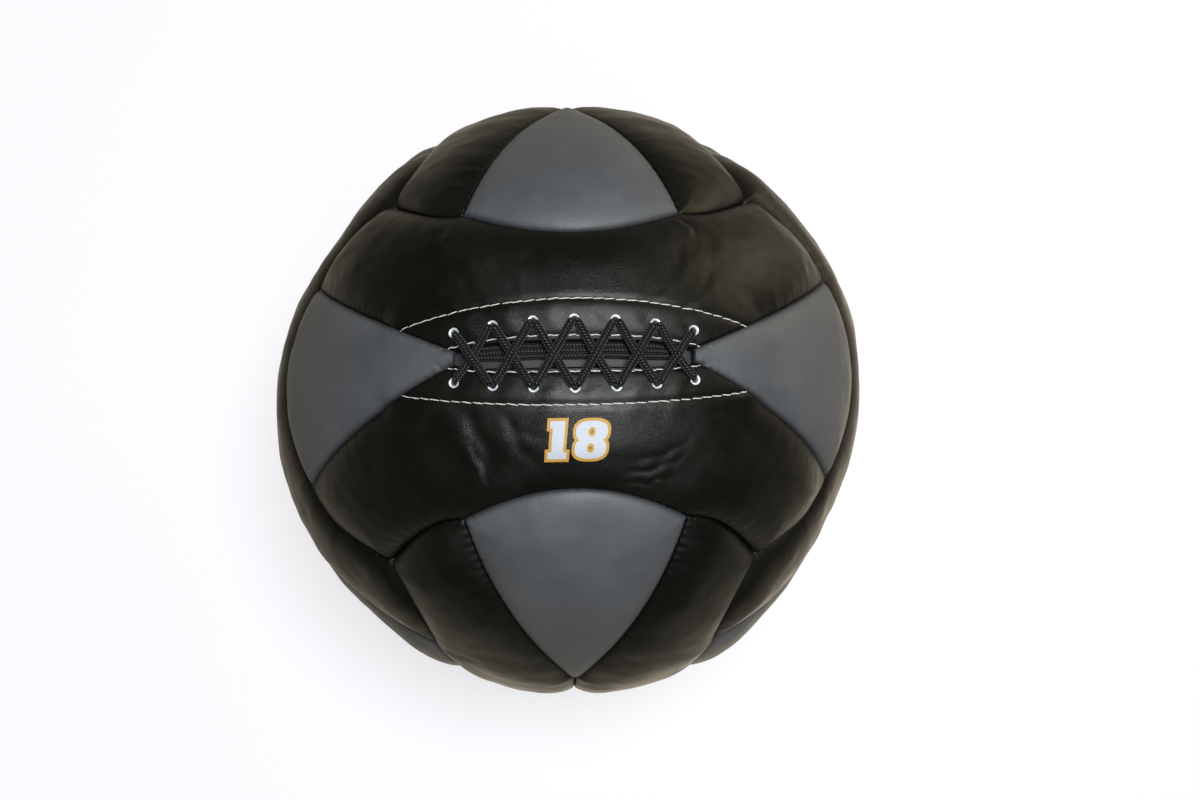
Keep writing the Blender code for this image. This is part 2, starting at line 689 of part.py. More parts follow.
def smooth_route(route):
    """Points along the smooth curve through the route's own points, with a size for each."""
    route = np.array(route)
    points = place(route[:, 0], route[:, 1], route[:, 2])
    keep = np.concatenate([[True], np.linalg.norm(np.diff(points, axis=0), axis=1) > LACE_GAP])
    points = np.hstack([points, route[:, 3:]])[keep]
    before = np.vstack([2 * points[0] - points[1], points[:-2]])
    after = np.vstack([points[2:], 2 * points[-1] - points[-2]])
    smooth = []
    for a, b, c, d in zip(before, points[:-1], points[1:], after):
        length = np.linalg.norm((c - b)[:3])
        cells = max(1, int(round(length / LACE_POINT_STEP)))
        t = (np.arange(cells) / cells)[:, None]
        # a cubic that passes through b and c, with its slope at each from their neighbours
        slope_b = (c - a) * length / (np.linalg.norm((b - a)[:3]) + length)
        slope_c = (d - b) * length / (np.linalg.norm((d - c)[:3]) + length)
        smooth.append((2 * t ** 3 - 3 * t ** 2 + 1) * b + (t ** 3 - 2 * t ** 2 + t) * slope_b
                      + (3 * t ** 2 - 2 * t ** 3) * c + (t ** 3 - t ** 2) * slope_c)
    return np.vstack(smooth + [points[-1:]])


def least_self_gap(points):
    """The smallest clear space between parts of the lace that aren't next to each other."""
    share = (np.arange(GAP_COUNT) / GAP_COUNT)[None, :, None]
    fine = (points[:-1, None] + (points[1:] - points[:-1])[:, None] * share).reshape(-1, 4)
    travel = np.concatenate([[0], np.cumsum(np.linalg.norm(np.diff(fine[:, :3], axis=0), axis=1))])
    apart = np.linalg.norm(fine[:, None, :3] - fine[None, :, :3], axis=-1)
    clear = apart - (fine[:, None, 3] + fine[None, :, 3]) * LACE_RADIUS
    clear[np.abs(travel[:, None] - travel[None]) < 5 * LACE_RADIUS] = np.inf
    return float(clear.min()), float(travel[-1])


def add_lace(material):
    points = smooth_route(lace_route())
    curve = bpy.data.curves.new("lace", "CURVE")
    curve.dimensions = "3D"
    curve.bevel_depth = LACE_RADIUS
    curve.bevel_resolution = 1
    curve.use_fill_caps = True
    spline = curve.splines.new("POLY")
    spline.points.add(len(points) - 1)
    for point, (x, y, z, size) in zip(spline.points, points):
        point.co = (x, y, z, 1)
        point.radius = size
    add_object("lace", curve, material)
    gap, length = least_self_gap(points)
    print(f"lace: {len(points)} points, {length:.3f} m, least gap to itself {gap * 1000:.2f} mm")


# Inside

def arc(radius, start, end, count):
    """Points on a circle about the ball's middle, from one height angle to another."""
    return [(max(0.0, radius * math.cos(angle)), radius * math.sin(angle))
            for angle in np.linspace(start, end, count)]


def lining_radius():
    """Outer radius of what is packed inside the liner."""
    return CORE_RADIUS - LINER_GAP - LINER_WALL - STUFFING_GAP


def well_angle():
    """Height angle of the well's rim, where the stuffing and its wad part."""
    return math.acos(WELL_TOP_RADIUS / lining_radius())


def sack_arc(radius, start):
    """A line down the round sack from a height angle, divided alike on all that touches it."""
    floor = math.acos(WELL_FLOOR_RADIUS / (BAG_RADIUS + PIECE_GAP))
    upper = arc(radius, start, floor, SACK_UPPER_COUNT)[:-1] if start > floor else []
    return upper + arc(radius, floor, -math.pi / 2, SACK_LOWER_COUNT)


def add_liner(material):
    """The cloth bag that holds the stuffing, with a mouth under the slit."""
    radius = CORE_RADIUS - LINER_GAP
    profile = arc(radius, math.pi / 2, well_angle(), LID_COUNT)[:-1]
    profile += arc(radius, well_angle(), -math.pi / 2, BOWL_COUNT)
    obj = add_object("liner", turned_mesh("liner", profile), material)
    spin(obj)
    thicken(obj, LINER_WALL)
    bpy.ops.mesh.primitive_cylinder_add(vertices=MOUTH_COUNT, radius=1, depth=1)
    cutter = bpy.context.active_object
    cutter.scale = (MOUTH_HALF_LENGTH, MOUTH_HALF_WIDTH, radius)
    bpy.ops.object.transform_apply(location=False, rotation=False, scale=True)
    move_into(cutter, "liner_mouth", CUTTERS)
    cutter.location = (0, 0, radius)
    cut(obj, make_cutter(cutter))


def add_stuffing(material):
    """The packed fibre, with a well from the mouth down to the sack."""
    profile = sack_arc(BAG_RADIUS + PIECE_GAP, 0)[::-1]
    profile += arc(lining_radius(), well_angle(), -math.pi / 2, BOWL_COUNT)
    spin(add_object("stuffing", turned_mesh("stuffing", profile), material))


def add_wad(material):
    """The last handful of fibre, pushed into the well over the sack's neck."""
    top = CROWN_RADIUS - WAD_DEPTH
    hollow = BAG_RADIUS + PIECE_GAP
    rim = math.acos((WELL_TOP_RADIUS - 2 * STUFFING_GAP) / top)
    foot = math.acos((WELL_FLOOR_RADIUS - 2 * STUFFING_GAP) / hollow)
    brim = math.acos(WAD_HOLLOW_RADIUS / hollow)
    neck_room = hollow + BAG_NECK_RISE + STUFFING_GAP
    profile = arc(top, math.pi / 2, rim, LID_COUNT) + arc(hollow, foot, brim, SACK_UPPER_COUNT)
    profile += [(WAD_HOLLOW_RADIUS, neck_room), (0, neck_room)]
    spin(add_object("stuffing_wad", turned_mesh("stuffing_wad", profile), material))


def add_sack(canvas, cord, grit):
    """The ballast sack, gathered at its neck and tied, with its filling."""
    shoulder = math.acos(BAG_SHOULDER_RADIUS / BAG_RADIUS)
    tie = BAG_RADIUS + BAG_TIE_RISE
    profile = [(BAG_NECK_RADIUS, BAG_RADIUS + BAG_NECK_RISE), (BAG_WAIST_RADIUS, tie + 2 * TIE_RADIUS),
               (BAG_WAIST_RADIUS, tie - 2 * TIE_RADIUS)]
    profile += sack_arc(BAG_RADIUS, shoulder)
    obj = add_object("ballast_sack", turned_mesh("ballast_sack", profile), canvas)
    spin(obj)
    thicken(obj, BAG_WALL)
    filling = sack_arc(BAG_RADIUS - BAG_WALL - PIECE_GAP, shoulder)
    profile = [(0, filling[0][1])] + filling
    spin(add_object("ballast", turned_mesh("ballast", profile), grit))
    bpy.ops.mesh.primitive_torus_add(
        major_radius=BAG_WAIST_RADIUS + PIECE_GAP + TIE_RADIUS, minor_radius=TIE_RADIUS,
        major_segments=TURNED_COUNT, minor_segments=TIE_COUNT)
    ring = move_into(bpy.context.active_object, "sack_tie", PARTS)
    ring.location = (0, 0, tie)
    ring.data.materials.append(cord)


def build():
    black = make_material("black_leather", (0.012, 0.012, 0.011), 0.42)
    grey = make_material("grey_leather", (0.095, 0.098, 0.105), 0.45)
    nickel = make_material("eyelet_nickel", (0.86, 0.86, 0.88), 0.3, 1.0)
    braid = make_material("lace_braid", (0.02, 0.02, 0.018), 0.7)
    lining = make_material("lining_cloth", (0.03, 0.03, 0.03), 0.9)
    cotton = make_material("liner_cotton", (0.55, 0.52, 0.45), 0.95)
    fibre = make_material("stuffing_fibre", (0.6, 0.58, 0.54), 1.0)
    canvas = make_material("sack_canvas", (0.45, 0.4, 0.3), 0.95)
    string = make_material("tie_string", (0.6, 0.55, 0.42), 0.9)
    grit = make_material("ballast_grit", (0.25, 0.22, 0.18), 0.95)
    panels = add_cover(black, grey)
    holes = add_hole_cutter()
    for side in (1, 2):
        cut(panels[f"laced_long_panel_{side}"], holes)
        add_facing(f"eyelet_facing_{side}", side, holes, lining)
    add_eyelets(nickel)
    add_tongue(black)
    add_lace(braid)
    add_liner(cotton)
    add_stuffing(fibre)
    add_wad(fibre)
    add_sack(canvas, string, grit)


clear_scene()
PARTS = make_collection(PART)
CUTTERS = make_collection("cutters")
CENTRE = bpy.data.objects.new("ball_centre", None)
PARTS.objects.link(CENTRE)
CENTRE.location = (0, 0, CENTRE_HEIGHT)
build()
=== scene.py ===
import math
import bmesh
import bpy
import numpy as np
from mathutils import Matrix, Vector


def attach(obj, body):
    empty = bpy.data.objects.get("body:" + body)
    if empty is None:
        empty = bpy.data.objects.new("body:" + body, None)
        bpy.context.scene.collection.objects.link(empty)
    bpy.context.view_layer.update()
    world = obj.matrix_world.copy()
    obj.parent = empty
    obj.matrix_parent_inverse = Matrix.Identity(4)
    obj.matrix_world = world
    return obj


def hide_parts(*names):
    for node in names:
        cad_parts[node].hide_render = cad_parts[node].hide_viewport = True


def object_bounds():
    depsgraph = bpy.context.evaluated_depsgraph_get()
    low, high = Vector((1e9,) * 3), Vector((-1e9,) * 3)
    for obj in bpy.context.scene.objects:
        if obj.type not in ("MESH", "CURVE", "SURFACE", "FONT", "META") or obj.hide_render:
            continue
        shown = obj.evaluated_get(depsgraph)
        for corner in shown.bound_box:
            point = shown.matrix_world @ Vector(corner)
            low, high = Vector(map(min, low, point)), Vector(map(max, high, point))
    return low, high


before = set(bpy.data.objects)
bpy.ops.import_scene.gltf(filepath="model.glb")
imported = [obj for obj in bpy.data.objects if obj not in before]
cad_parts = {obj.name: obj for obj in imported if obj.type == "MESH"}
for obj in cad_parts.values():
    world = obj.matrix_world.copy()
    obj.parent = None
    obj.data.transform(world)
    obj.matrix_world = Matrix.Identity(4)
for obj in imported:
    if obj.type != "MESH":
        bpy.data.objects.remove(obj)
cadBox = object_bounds()

# metres and radians; angles of the seam pattern are seen from the middle of the ball
ball = {
    "crown": 0.180,               # radius over the crowns of the panels
    "core": 0.166,                # radius of the liner side of the padding
    "restLevel": 0.175,           # where the resting face is pressed flat, below the middle
    "thinnest": 0.001, "weld": 0.000002,
    "cornerAngle": math.asin(1 / math.sqrt(3)),
    "edgeAngle": math.radians(22.0),
    "mitreAngle": math.radians(45.0),
    "bowAngle": math.radians(2.4),
    "tipAngle": math.radians(19.7),
    "endHalfAngle": math.radians(18.9),
    "endBulge": 0.25, "endBulgeStart": 0.6,                # bow of a plain end panel's sides
    "lacedBulge": 0.10,
    "tipBlunt": 1.3, "tipRise": 0.02, "tipFade": 0.12,     # rounding of its tip, in shares of the side
}
crown = ball["crown"]
tipWay = ball["tipAngle"] * crown
low, high = (np.array(corner) for corner in cadBox)
centre = np.array([*(low + high)[:2] / 2, low[2] + ball["restLevel"]])
endShare = ball["endHalfAngle"] / ball["cornerAngle"]

# each face's way along, across and out
faces = {
    "laced": ((1, 0, 0), (0, 1, 0), (0, 0, 1)),
    "rest": ((1, 0, 0), (0, -1, 0), (0, 0, -1)),
    "back": ((0, 0, 1), (1, 0, 0), (0, 1, 0)),
    "front": ((0, 0, 1), (-1, 0, 0), (0, -1, 0)),
    "right": ((0, 1, 0), (0, 0, 1), (1, 0, 0)),
    "left": ((0, 1, 0), (0, 0, -1), (-1, 0, 0)),
}
flipX = np.array([-1, 1, 1])
flipY = np.array([1, -1, 1])
halfTurn = np.array([-1, -1, 1])


def unit(vectors):
    return vectors / np.linalg.norm(vectors, axis=-1, keepdims=True)


def smoothStep(value, start, end):
    share = np.clip((value - start) / (end - start), 0, 1)
    return share * share * (3 - 2 * share)


def bell(way, width):
    return np.exp(-(way / width) ** 2)


def circle(count):
    return np.linspace(0, math.tau, count, endpoint=False)


def stand(name, data):
    piece = bpy.data.objects.new(name, data)
    bpy.context.scene.collection.objects.link(piece)
    return piece


def makeObject(name, points, faceList, smoothAngle=60, values=None, uv=None, change=None):
    # welds the points, turns the faces outwards, and stands the mesh at its place on the ball
    mesh = bpy.data.meshes.new(name)
    mesh.from_pydata(points, [], faceList)
    for key, numbers in (values or {}).items():
        mesh.attributes.new(key, "FLOAT", "POINT").data.foreach_set("value", np.ravel(numbers).astype(np.float32))
    if uv is not None:
        mesh.uv_layers.new(name="along").data.foreach_set("uv", np.ravel(uv).astype(np.float32))
    work = bmesh.new()
    work.from_mesh(mesh)
    bmesh.ops.remove_doubles(work, verts=work.verts, dist=ball["weld"])
    if change:
        change(work)
    bmesh.ops.recalc_face_normals(work, faces=work.faces)
    bmesh.ops.translate(work, verts=work.verts, vec=centre)
    work.to_mesh(mesh)
    work.free()
    mesh.shade_smooth()
    mesh.set_sharp_from_angle(angle=math.radians(smoothAngle))
    return stand(name, mesh)


def settle(piece, material, slot, *nodes):
    piece.data.materials.clear()
    piece.data.materials.append(material)
    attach(piece, "root")
    if nodes:
        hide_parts(*nodes)


# Materials


def addNode(tree, kind, inputs=(), **settings):
    # inputs maps a socket to a value, or to the socket that feeds it
    node = tree.nodes.new(kind)
    for key, value in settings.items():
        setattr(node, key, value)
    for key, value in dict(inputs).items():
        if isinstance(value, bpy.types.NodeSocket):
            tree.links.new(value, node.inputs[key])
        else:
            node.inputs[key].default_value = value
    return node


def blendColour(tree, share, first, second):
    # from the first to the second colour, each a socket or its red, green and blue
    first, second = ((*part, 1) if isinstance(part, tuple) else part for part in (first, second))
    return addNode(tree, "ShaderNodeMix", {0: share, 6: first, 7: second}, data_type="RGBA").outputs[2]


def combine(tree, kind, first, second):
    return addNode(tree, "ShaderNodeMath", {0: first, 1: second}, operation=kind).outputs[0]


def ramp(tree, value, low, high, start=0.0, end=1.0):
    inputs = {"Value": value, "From Min": low, "From Max": high, "To Min": start, "To Max": end}
    return addNode(tree, "ShaderNodeMapRange", inputs, interpolation_type="SMOOTHSTEP").outputs[0]


def objectSpot(tree):
    return addNode(tree, "ShaderNodeTexCoord").outputs["Object"]


def attribute(tree, name):
    return addNode(tree, "ShaderNodeAttribute", attribute_name=name).outputs["Fac"]


def noise(tree, spot, output="Fac", **inputs):
    return addNode(tree, "ShaderNodeTexNoise", {"Vector": spot, **inputs}).outputs[output]


def shaderMaterial(name, **values):
    material = bpy.data.materials.new(name)
    material.use_nodes = True
    shader = material.node_tree.nodes["Principled BSDF"]
    for key, value in values.items():
        shader.inputs[key.replace("_", " ")].default_value = value
    return material, material.node_tree


def feedShader(material, colour, rough, height, strength, distance):
    # links colour, roughness and a bump to the material's shader
    tree = material.node_tree
    bumped = addNode(tree, "ShaderNodeBump", {"Height": height, "Strength": strength, "Distance": distance})
    for name, output in (("Base Color", colour), ("Roughness", rough), ("Normal", bumped.outputs[0])):
        if output is not None:
            tree.links.new(output, tree.nodes["Principled BSDF"].inputs[name])
    return material


skin = {
    "grain": 0.0011, "crease": 0.012, "warp": 0.0009,      # metres
    "grainHeight": 0.5, "poreHeight": 0.35, "creaseHeight": 1.6,
    "grooveWay": 0.0035, "grooveShade": 0.45, "grooveDull": 0.12, "rubDull": 0.09,
}


def leatherGroup():
    # pebbled grain with fine pores and broad rubbed patches
    tree = bpy.data.node_groups.new("leatherSkin", "ShaderNodeTree")
    spot = objectSpot(tree)
    warp = noise(tree, spot, "Color", Scale=420.0, Detail=2.0)
    shifted = addNode(tree, "ShaderNodeVectorMath", {0: warp, "Scale": skin["warp"]}, operation="SCALE")
    moved = addNode(tree, "ShaderNodeVectorMath", {0: spot, 1: shifted.outputs[0]}, operation="ADD").outputs[0]
    pebble = addNode(tree, "ShaderNodeTexVoronoi", {"Vector": moved, "Scale": 1 / skin["grain"]},
                     feature="DISTANCE_TO_EDGE").outputs["Distance"]
    pores = noise(tree, spot, Scale=2600.0, Detail=3.0)
    crease = noise(tree, moved, Scale=1 / skin["crease"], Detail=5.0, Roughness=0.62)
    rub = noise(tree, spot, Scale=24.0, Detail=6.0, Roughness=0.6)
    height = combine(tree, "ADD", combine(tree, "MULTIPLY", ramp(tree, pebble, 0.0, 0.22), skin["grainHeight"]),
                     combine(tree, "MULTIPLY", pores, skin["poreHeight"]))
    height = combine(tree, "ADD", height, combine(tree, "MULTIPLY", crease, skin["creaseHeight"]))
    outputs = {"Height": height, "Rub": ramp(tree, rub, 0.3, 0.72), "Pores": pores}
    for name in outputs:
        tree.interface.new_socket(name, in_out="OUTPUT", socket_type="NodeSocketFloat")
    addNode(tree, "NodeGroupOutput", outputs)
    return tree


leatherSkin = leatherGroup()


def leather(name, colour, rubbed, roughness, shine=0.5):
    # rubbed patches are lighter, and painted shade darkens the colour into the seam grooves
    material, tree = shaderMaterial(name, Coat_Weight=0.03, Coat_Roughness=0.30, Specular_IOR_Level=shine,
                                    Specular_Tint=(1, 0.95, 0.84, 1))
    given = addNode(tree, "ShaderNodeGroup", node_tree=leatherSkin).outputs
    inGroove = ramp(tree, attribute(tree, "seamWay"), 0.0, skin["grooveWay"], 1.0, 0.0)
    worn = blendColour(tree, given["Rub"], colour, rubbed)
    # painted shade: the colour the leather darkens to in the seam grooves
    seamShadeColour = tuple(part * skin["grooveShade"] for part in colour)
    rough = combine(tree, "ADD", ramp(tree, given["Rub"], 0.0, 1.0, roughness, roughness + skin["rubDull"]),
                    combine(tree, "MULTIPLY", inGroove, skin["grooveDull"]))
    return feedShader(material, blendColour(tree, inGroove, worn, seamShadeColour), rough, given["Height"], 0.30, 0.0003)


def clothMaterial(name, colour, thread, pitch=0.0006):
    # plain weave: two crossed waves of threads, tinted by noise
    material, tree = shaderMaterial(name, Roughness=0.9, Sheen_Weight=0.2)
    spot = objectSpot(tree)
    waveScale = 0.314 / pitch             # at a scale of one, the texture's waves are 0.314 m long
    waves = [addNode(tree, "ShaderNodeTexWave", {"Vector": spot, "Scale": waveScale, "Distortion": 0.6},
                     bands_direction=way).outputs["Fac"] for way in ("X", "Y")]
    weave = combine(tree, "MAXIMUM", *waves)
    shade = combine(tree, "MULTIPLY", weave, noise(tree, spot, Scale=120.0, Detail=4.0))
    return feedShader(material, blendColour(tree, shade, colour, thread), None, weave, 0.5, 0.0003)


def fibreMaterial(name, colour, shadow, scale):
    # matted strands: swirled noise for the strands and broad noise for the tufts
    material, tree = shaderMaterial(name, Sheen_Weight=0.3)
    spot = objectSpot(tree)
    strands = noise(tree, spot, Scale=scale, Detail=6.0, Distortion=2.5)
    tufts = noise(tree, spot, Scale=scale / 12, Detail=3.0)
    shade = ramp(tree, combine(tree, "MULTIPLY", strands, tufts), 0.12, 0.4)
    rough = ramp(tree, strands, 0.0, 1.0, 0.95, 0.8)
    return feedShader(material, blendColour(tree, shade, shadow, colour), rough, strands, 0.8, 0.0006)


def laceMaterial():
    # the braid's plaits are in the mesh; here the colour goes from painted shade in the gaps between them to a
    # painted highlight on their crests, and they dull towards the gaps
    material, tree = shaderMaterial("lace_braid", Specular_IOR_Level=0.32, Sheen_Weight=0.1)
    rise = attribute(tree, "plait")
    lint = noise(tree, objectSpot(tree), Scale=1800.0, Detail=3.0)
    # near black in the gaps is painted shade; the lighter crests are a painted highlight
    colour = blendColour(tree, ramp(tree, rise, 0.60, 1.0), (0.0004, 0.0004, 0.0003), (0.078, 0.078, 0.066))
    return feedShader(material, colour, ramp(tree, rise, 0.4, 1.0, 0.95, 0.38), lint, 0.35, 0.00012)


def threadMaterial(name, colour, shadow):
    # twisted yarn: slanted bands round each stitch, a little soiled
    material, tree = shaderMaterial(name, Sheen_Weight=0.2)
    bands = combine(tree, "SINE", combine(tree, "MULTIPLY", attribute(tree, "twist"), math.tau), 0.0)
    soil = noise(tree, objectSpot(tree), Scale=90.0, Detail=3.0)
    shade = combine(tree, "MULTIPLY", ramp(tree, bands, -1.0, 0.2, 0.45, 1.0), ramp(tree, soil, 0.2, 0.6, 0.75, 1.0))
    rough = ramp(tree, soil, 0.2, 0.8, 0.55, 0.75)
    return feedShader(material, blendColour(tree, shade, shadow, colour), rough, bands, 0.5, 0.0001)


def metalMaterial(name, colour):
    # nickel plate with faint smudges; its near-white colour at low metalness is painted reflection, standing in for
    # the plate's bright shine
    material, tree = shaderMaterial(name, Metallic=0.35)
    smudge = noise(tree, objectSpot(tree), Scale=700.0, Detail=4.0)
    dull = tuple(part * 0.8 for part in colour)
    shade = blendColour(tree, ramp(tree, smudge, 0.3, 0.7), dull, colour)
    return feedShader(material, shade, ramp(tree, smudge, 0.25, 0.75, 0.26, 0.42), smudge, 0.15, 0.0001)


def printMaterial(name, colour, worn):
    # screen-print ink: slightly patchy, it takes the leather's grain
    material, tree = shaderMaterial(name, Specular_IOR_Level=0.45)
    given = addNode(tree, "ShaderNodeGroup", node_tree=leatherSkin).outputs
    shade = blendColour(tree, ramp(tree, given["Pores"], 0.3, 0.5), worn, colour)
    return feedShader(material, shade, ramp(tree, given["Rub"], 0.0, 1.0, 0.42, 0.55), given["Height"], 0.3, 0.0002)


blackLeather = leather("black_leather", (0.0040, 0.0036, 0.0027), (0.0068, 0.0062, 0.0048), 0.34, 0.34)
greyLeather = leather("grey_leather", (0.088, 0.090, 0.094), (0.109, 0.110, 0.112), 0.44)
# lighter grey than the black leather: painted sheen that the tongue catches between the flaps
tongueLeatherPaintedSheen = leather("tongue_leather", (0.07, 0.07, 0.072), (0.10, 0.10, 0.10), 0.42)
# near-white: painted reflection for the eyelets' bright shine
nickel = metalMaterial("eyelet_metal", (0.97, 0.97, 0.98))
braid = laceMaterial()
stitchThread = threadMaterial("stitch_thread", (0.84, 0.81, 0.71), (0.42, 0.40, 0.33))
whiteInk = printMaterial("white_ink", (0.66, 0.66, 0.69), (0.54, 0.54, 0.56))
amberInk = printMaterial("amber_ink", (0.62, 0.33, 0.055), (0.50, 0.26, 0.045))
liningCloth = clothMaterial("lining_cloth", (0.012, 0.012, 0.012), (0.04, 0.04, 0.04))
linerCotton = clothMaterial("liner_cotton", (0.36, 0.33, 0.26), (0.62, 0.58, 0.48))
sackCanvas = clothMaterial("sack_canvas", (0.3, 0.26, 0.18), (0.5, 0.44, 0.32), pitch=0.0012)
stuffingFibre = fibreMaterial("stuffing_fibre", (0.68, 0.65, 0.6), (0.3, 0.28, 0.25), 900.0)
ballastGrit = fibreMaterial("ballast_grit", (0.3, 0.27, 0.22), (0.08, 0.07, 0.06), 420.0)
tieString = fibreMaterial("tie_string", (0.66, 0.6, 0.46), (0.3, 0.26, 0.18), 1500.0)
print("materials made")

# Seam pattern, as directions in a face's own frame

mouth = {
    "slitHalfWidth": 0.0066, "tipHalfWidth": 0.0034, "slitDepth": 0.003, "slitSpread": 0.009, "slitRoll": 0.0012,
    "flapWall": 0.003, "flapReach": 0.040, "flapBlend": 0.014, "foldStart": 0.055, "foldBlend": 0.015,
    "flatSeam": 0.75, "flatPuckers": 0.35, "flatLumps": 0.3,      # how far the flaps calm seams, puckers and lumps
}


def direction(lon, lat):
    # lon turns along the face from its middle, lat leans across it
    return np.stack([np.cos(lat) * np.sin(lon), np.sin(lat) + 0 * lon, np.cos(lat) * np.cos(lon)], -1)


def place(along, across, radius):
    lon, lat = np.asarray(along, float) / crown, np.asarray(across, float) / crown
    return direction(lon, lat) * np.asarray(radius, float)[..., None]


def lonLat(directions):
    return np.arctan2(directions[..., 0], directions[..., 2]), np.arcsin(np.clip(directions[..., 1], -1, 1))


def longEdge(share):
    # the seam between two faces: its lean grows with the square of the way to a corner, less a bow
    # between the end panel and the corner
    share = np.asarray(share, float)
    lat = share * ball["cornerAngle"]
    past = np.clip((np.abs(share) - endShare) / (1 - endShare), 0, 1)
    lean = ball["edgeAngle"] + (ball["mitreAngle"] - ball["edgeAngle"]) * share ** 2
    lean = lean - ball["bowAngle"] * 4 * past * (1 - past)
    return np.stack([np.sin(lat), np.cos(lat) * np.sin(lean), np.cos(lat) * np.cos(lean)], -1)


def shortEdge(share):
    return longEdge(share)[..., [2, 0, 1]]


def endSide(share, laced):
    # from an end panel's tip to its base: the width grows with the way, plus a bow; tips are
    # rounded, and blunt on the laced face
    cornerLon, cornerLat = lonLat(shortEdge(endShare))
    lon = ball["tipAngle"] + (cornerLon - ball["tipAngle"]) * share
    blunt = mouth["tipHalfWidth"] / crown * (1 - share) ** 3
    bulge = ball["lacedBulge"]
    if not laced:
        blunt = blunt * ball["tipBlunt"] * (1 - np.exp(-share / ball["tipRise"])) * np.exp(-share / ball["tipFade"])
        # a plain panel's bow grows towards its base
        bulge = ball["endBulge"] * (ball["endBulgeStart"] + share)
    return direction(lon, cornerLat * (share + bulge * share * (1 - share)) + blunt)


def slitHalfWidth(along):
    # narrows with the fourth power of the way to a tip, down to the tip's own width
    share = np.clip(np.abs(along) / tipWay, 0, 1)
    closing = 1 - (mouth["tipHalfWidth"] / mouth["slitHalfWidth"]) ** 2
    return mouth["slitHalfWidth"] * np.sqrt(1 - closing * share ** 4)


def middleSeam(share, laced):
    along = share * tipWay
    return direction(along / crown, (slitHalfWidth(along) if laced else 0 * along) / crown)


def crowded(count, pull=0.86):
    # shares from 0 to 1 that lie closer together near both ends
    share = np.linspace(0, 1, count + 1)
    return share - pull * np.sin(math.tau * share) / (math.tau)


def travelled(run):
    return np.concatenate([[0], np.cumsum(np.linalg.norm(np.diff(run, axis=0), axis=1))])


def resample(run, shares, kinks=()):
    # points at the given shares of the run's length, with one at each kink
    way = travelled(run)
    shares = shares.copy()
    for kink in kinks:
        shares[np.abs(shares - kink).argmin()] = kink
    return unit(np.stack([np.interp(shares * way[-1], way, run[:, k]) for k in range(3)], -1))


def longRuns(laced, count=400):
    # inner edge, outer edge and both ends of a long panel, finely divided
    outer = longEdge(np.linspace(-1, 1, 2 * count + 1))
    side = endSide(np.linspace(0, 1, count + 1), laced)
    middle = middleSeam(np.sin(np.linspace(-1, 1, count + 1) * math.pi / 2), laced)
    inner = np.vstack([(side * flipX)[:0:-1], middle, side[1:]])
    right = shortEdge(np.linspace(endShare, 1, count + 1))
    kink = travelled(side)[-1] / travelled(inner)[-1]
    return inner, outer, right * flipX, right, kink


def fillPatch(inner, outer, left, right):
    # blends each pair of opposite runs and takes off the blend of the corners
    u = ((travelled(inner) / travelled(inner)[-1] + travelled(outer) / travelled(outer)[-1]) / 2)[:, None, None]
    v = (travelled(left) / travelled(left)[-1])[None, :, None]
    ruled = (1 - v) * inner[:, None] + v * outer[:, None] + (1 - u) * left[None] + u * right[None]
    corners = ((1 - u) * (1 - v) * inner[0] + u * (1 - v) * inner[-1]
               + (1 - u) * v * outer[0] + u * v * outer[-1])
    return unit(ruled - corners)


def longGrid(laced, cells):
    inner, outer, left, right, kink = longRuns(laced)
    along, across = crowded(cells[0], 0.6), crowded(cells[1])
    return fillPatch(resample(inner, along, (kink, 1 - kink)), resample(outer, along),
                     resample(left, across), resample(right, across))


def endGrid(laced, cells):
    # rows run from the tip to the base, and bow more and more like the base
    rows = crowded(cells[0], 0.8)
    across = 2 * crowded(cells[1]) - 1
    base = shortEdge(across * endShare)
    baseLon = lonLat(base)[0]
    sideLon, sideLat = lonLat(endSide(rows, laced))
    bow = (baseLon - baseLon[0])[None] * rows[:, None] ** 2
    grid = direction(sideLon[:, None] + bow, sideLat[:, None] * across[None])
    grid[-1] = base
    return grid


def nearestOnRun(directions, run):
    # distance over the crown to a run of directions, and how far along it the nearest point lies
    flat = directions.reshape(-1, 3)
    way = travelled(run) * crown
    near = np.concatenate([(part @ run.T).argmax(1) for part in np.array_split(flat, 1 + len(flat) // 4000)])
    best = np.full(len(flat), np.inf)
    travel = np.zeros(len(flat))
    for step in (-1, 0):
        first = np.clip(near + step, 0, len(run) - 2)
        a, b = run[first], run[first + 1]
        share = np.clip(((flat - a) * (b - a)).sum(1) / np.maximum(((b - a) ** 2).sum(1), 1e-12), 0, 1)
        apart = np.linalg.norm(flat - a - (b - a) * share[:, None], axis=1) * crown
        closer = apart < best
        best = np.where(closer, apart, best)
        travel = np.where(closer, way[first] + share * (way[first + 1] - way[first]), travel)
    return best.reshape(directions.shape[:-1]), travel.reshape(directions.shape[:-1])


# Relief of the cover

relief = {
    "seamDepth": 0.0050, "cornerDepth": 0.0050, "seamSpread": 0.0085, "cornerSpread": 0.036,
    "edgeRoll": 0.0016,           # radius of the leather's turn into a seam
    "junctionPull": 1.2, "junctionSpread": 0.020,
    "stitchPitch": 0.0050, "stitchDip": 0.00050, "stitchSpread": 0.0022,
    "calmWay": 0.02, "creaseWay": 0.006,    # ways from a seam over which lumps and creases rise to all
    "puckerTop": 0.45,                      # way from a seam to a pucker's top, in its wavelengths
    "puckerLevel": 0.6, "puckerRound": 0.03,     # share of its height over the panel, rounding of its crest
    "lumps": ((0.080, 0.0006, 3), (0.030, 0.00016, 5), (0.012, 0.00006, 7)),   # wavelength, height, seed
    "puckers": ((0.030, 0.00018), (0.017, 0.00014), (0.009, 0.00010)),         # wavelength, height
}
dents = (      # turn round the ball, height over its equator and spread in degrees, and depth
    (145, 17, 26, 0.0036), (147, 17, 12, 0.0042), (227, 7, 15, 0.0027), (334, 10, 26, 0.0058), (292, 6, 18, -0.0020),
    (55, 18, 12, 0.0015), (90, 20, 8, -0.0020),
)
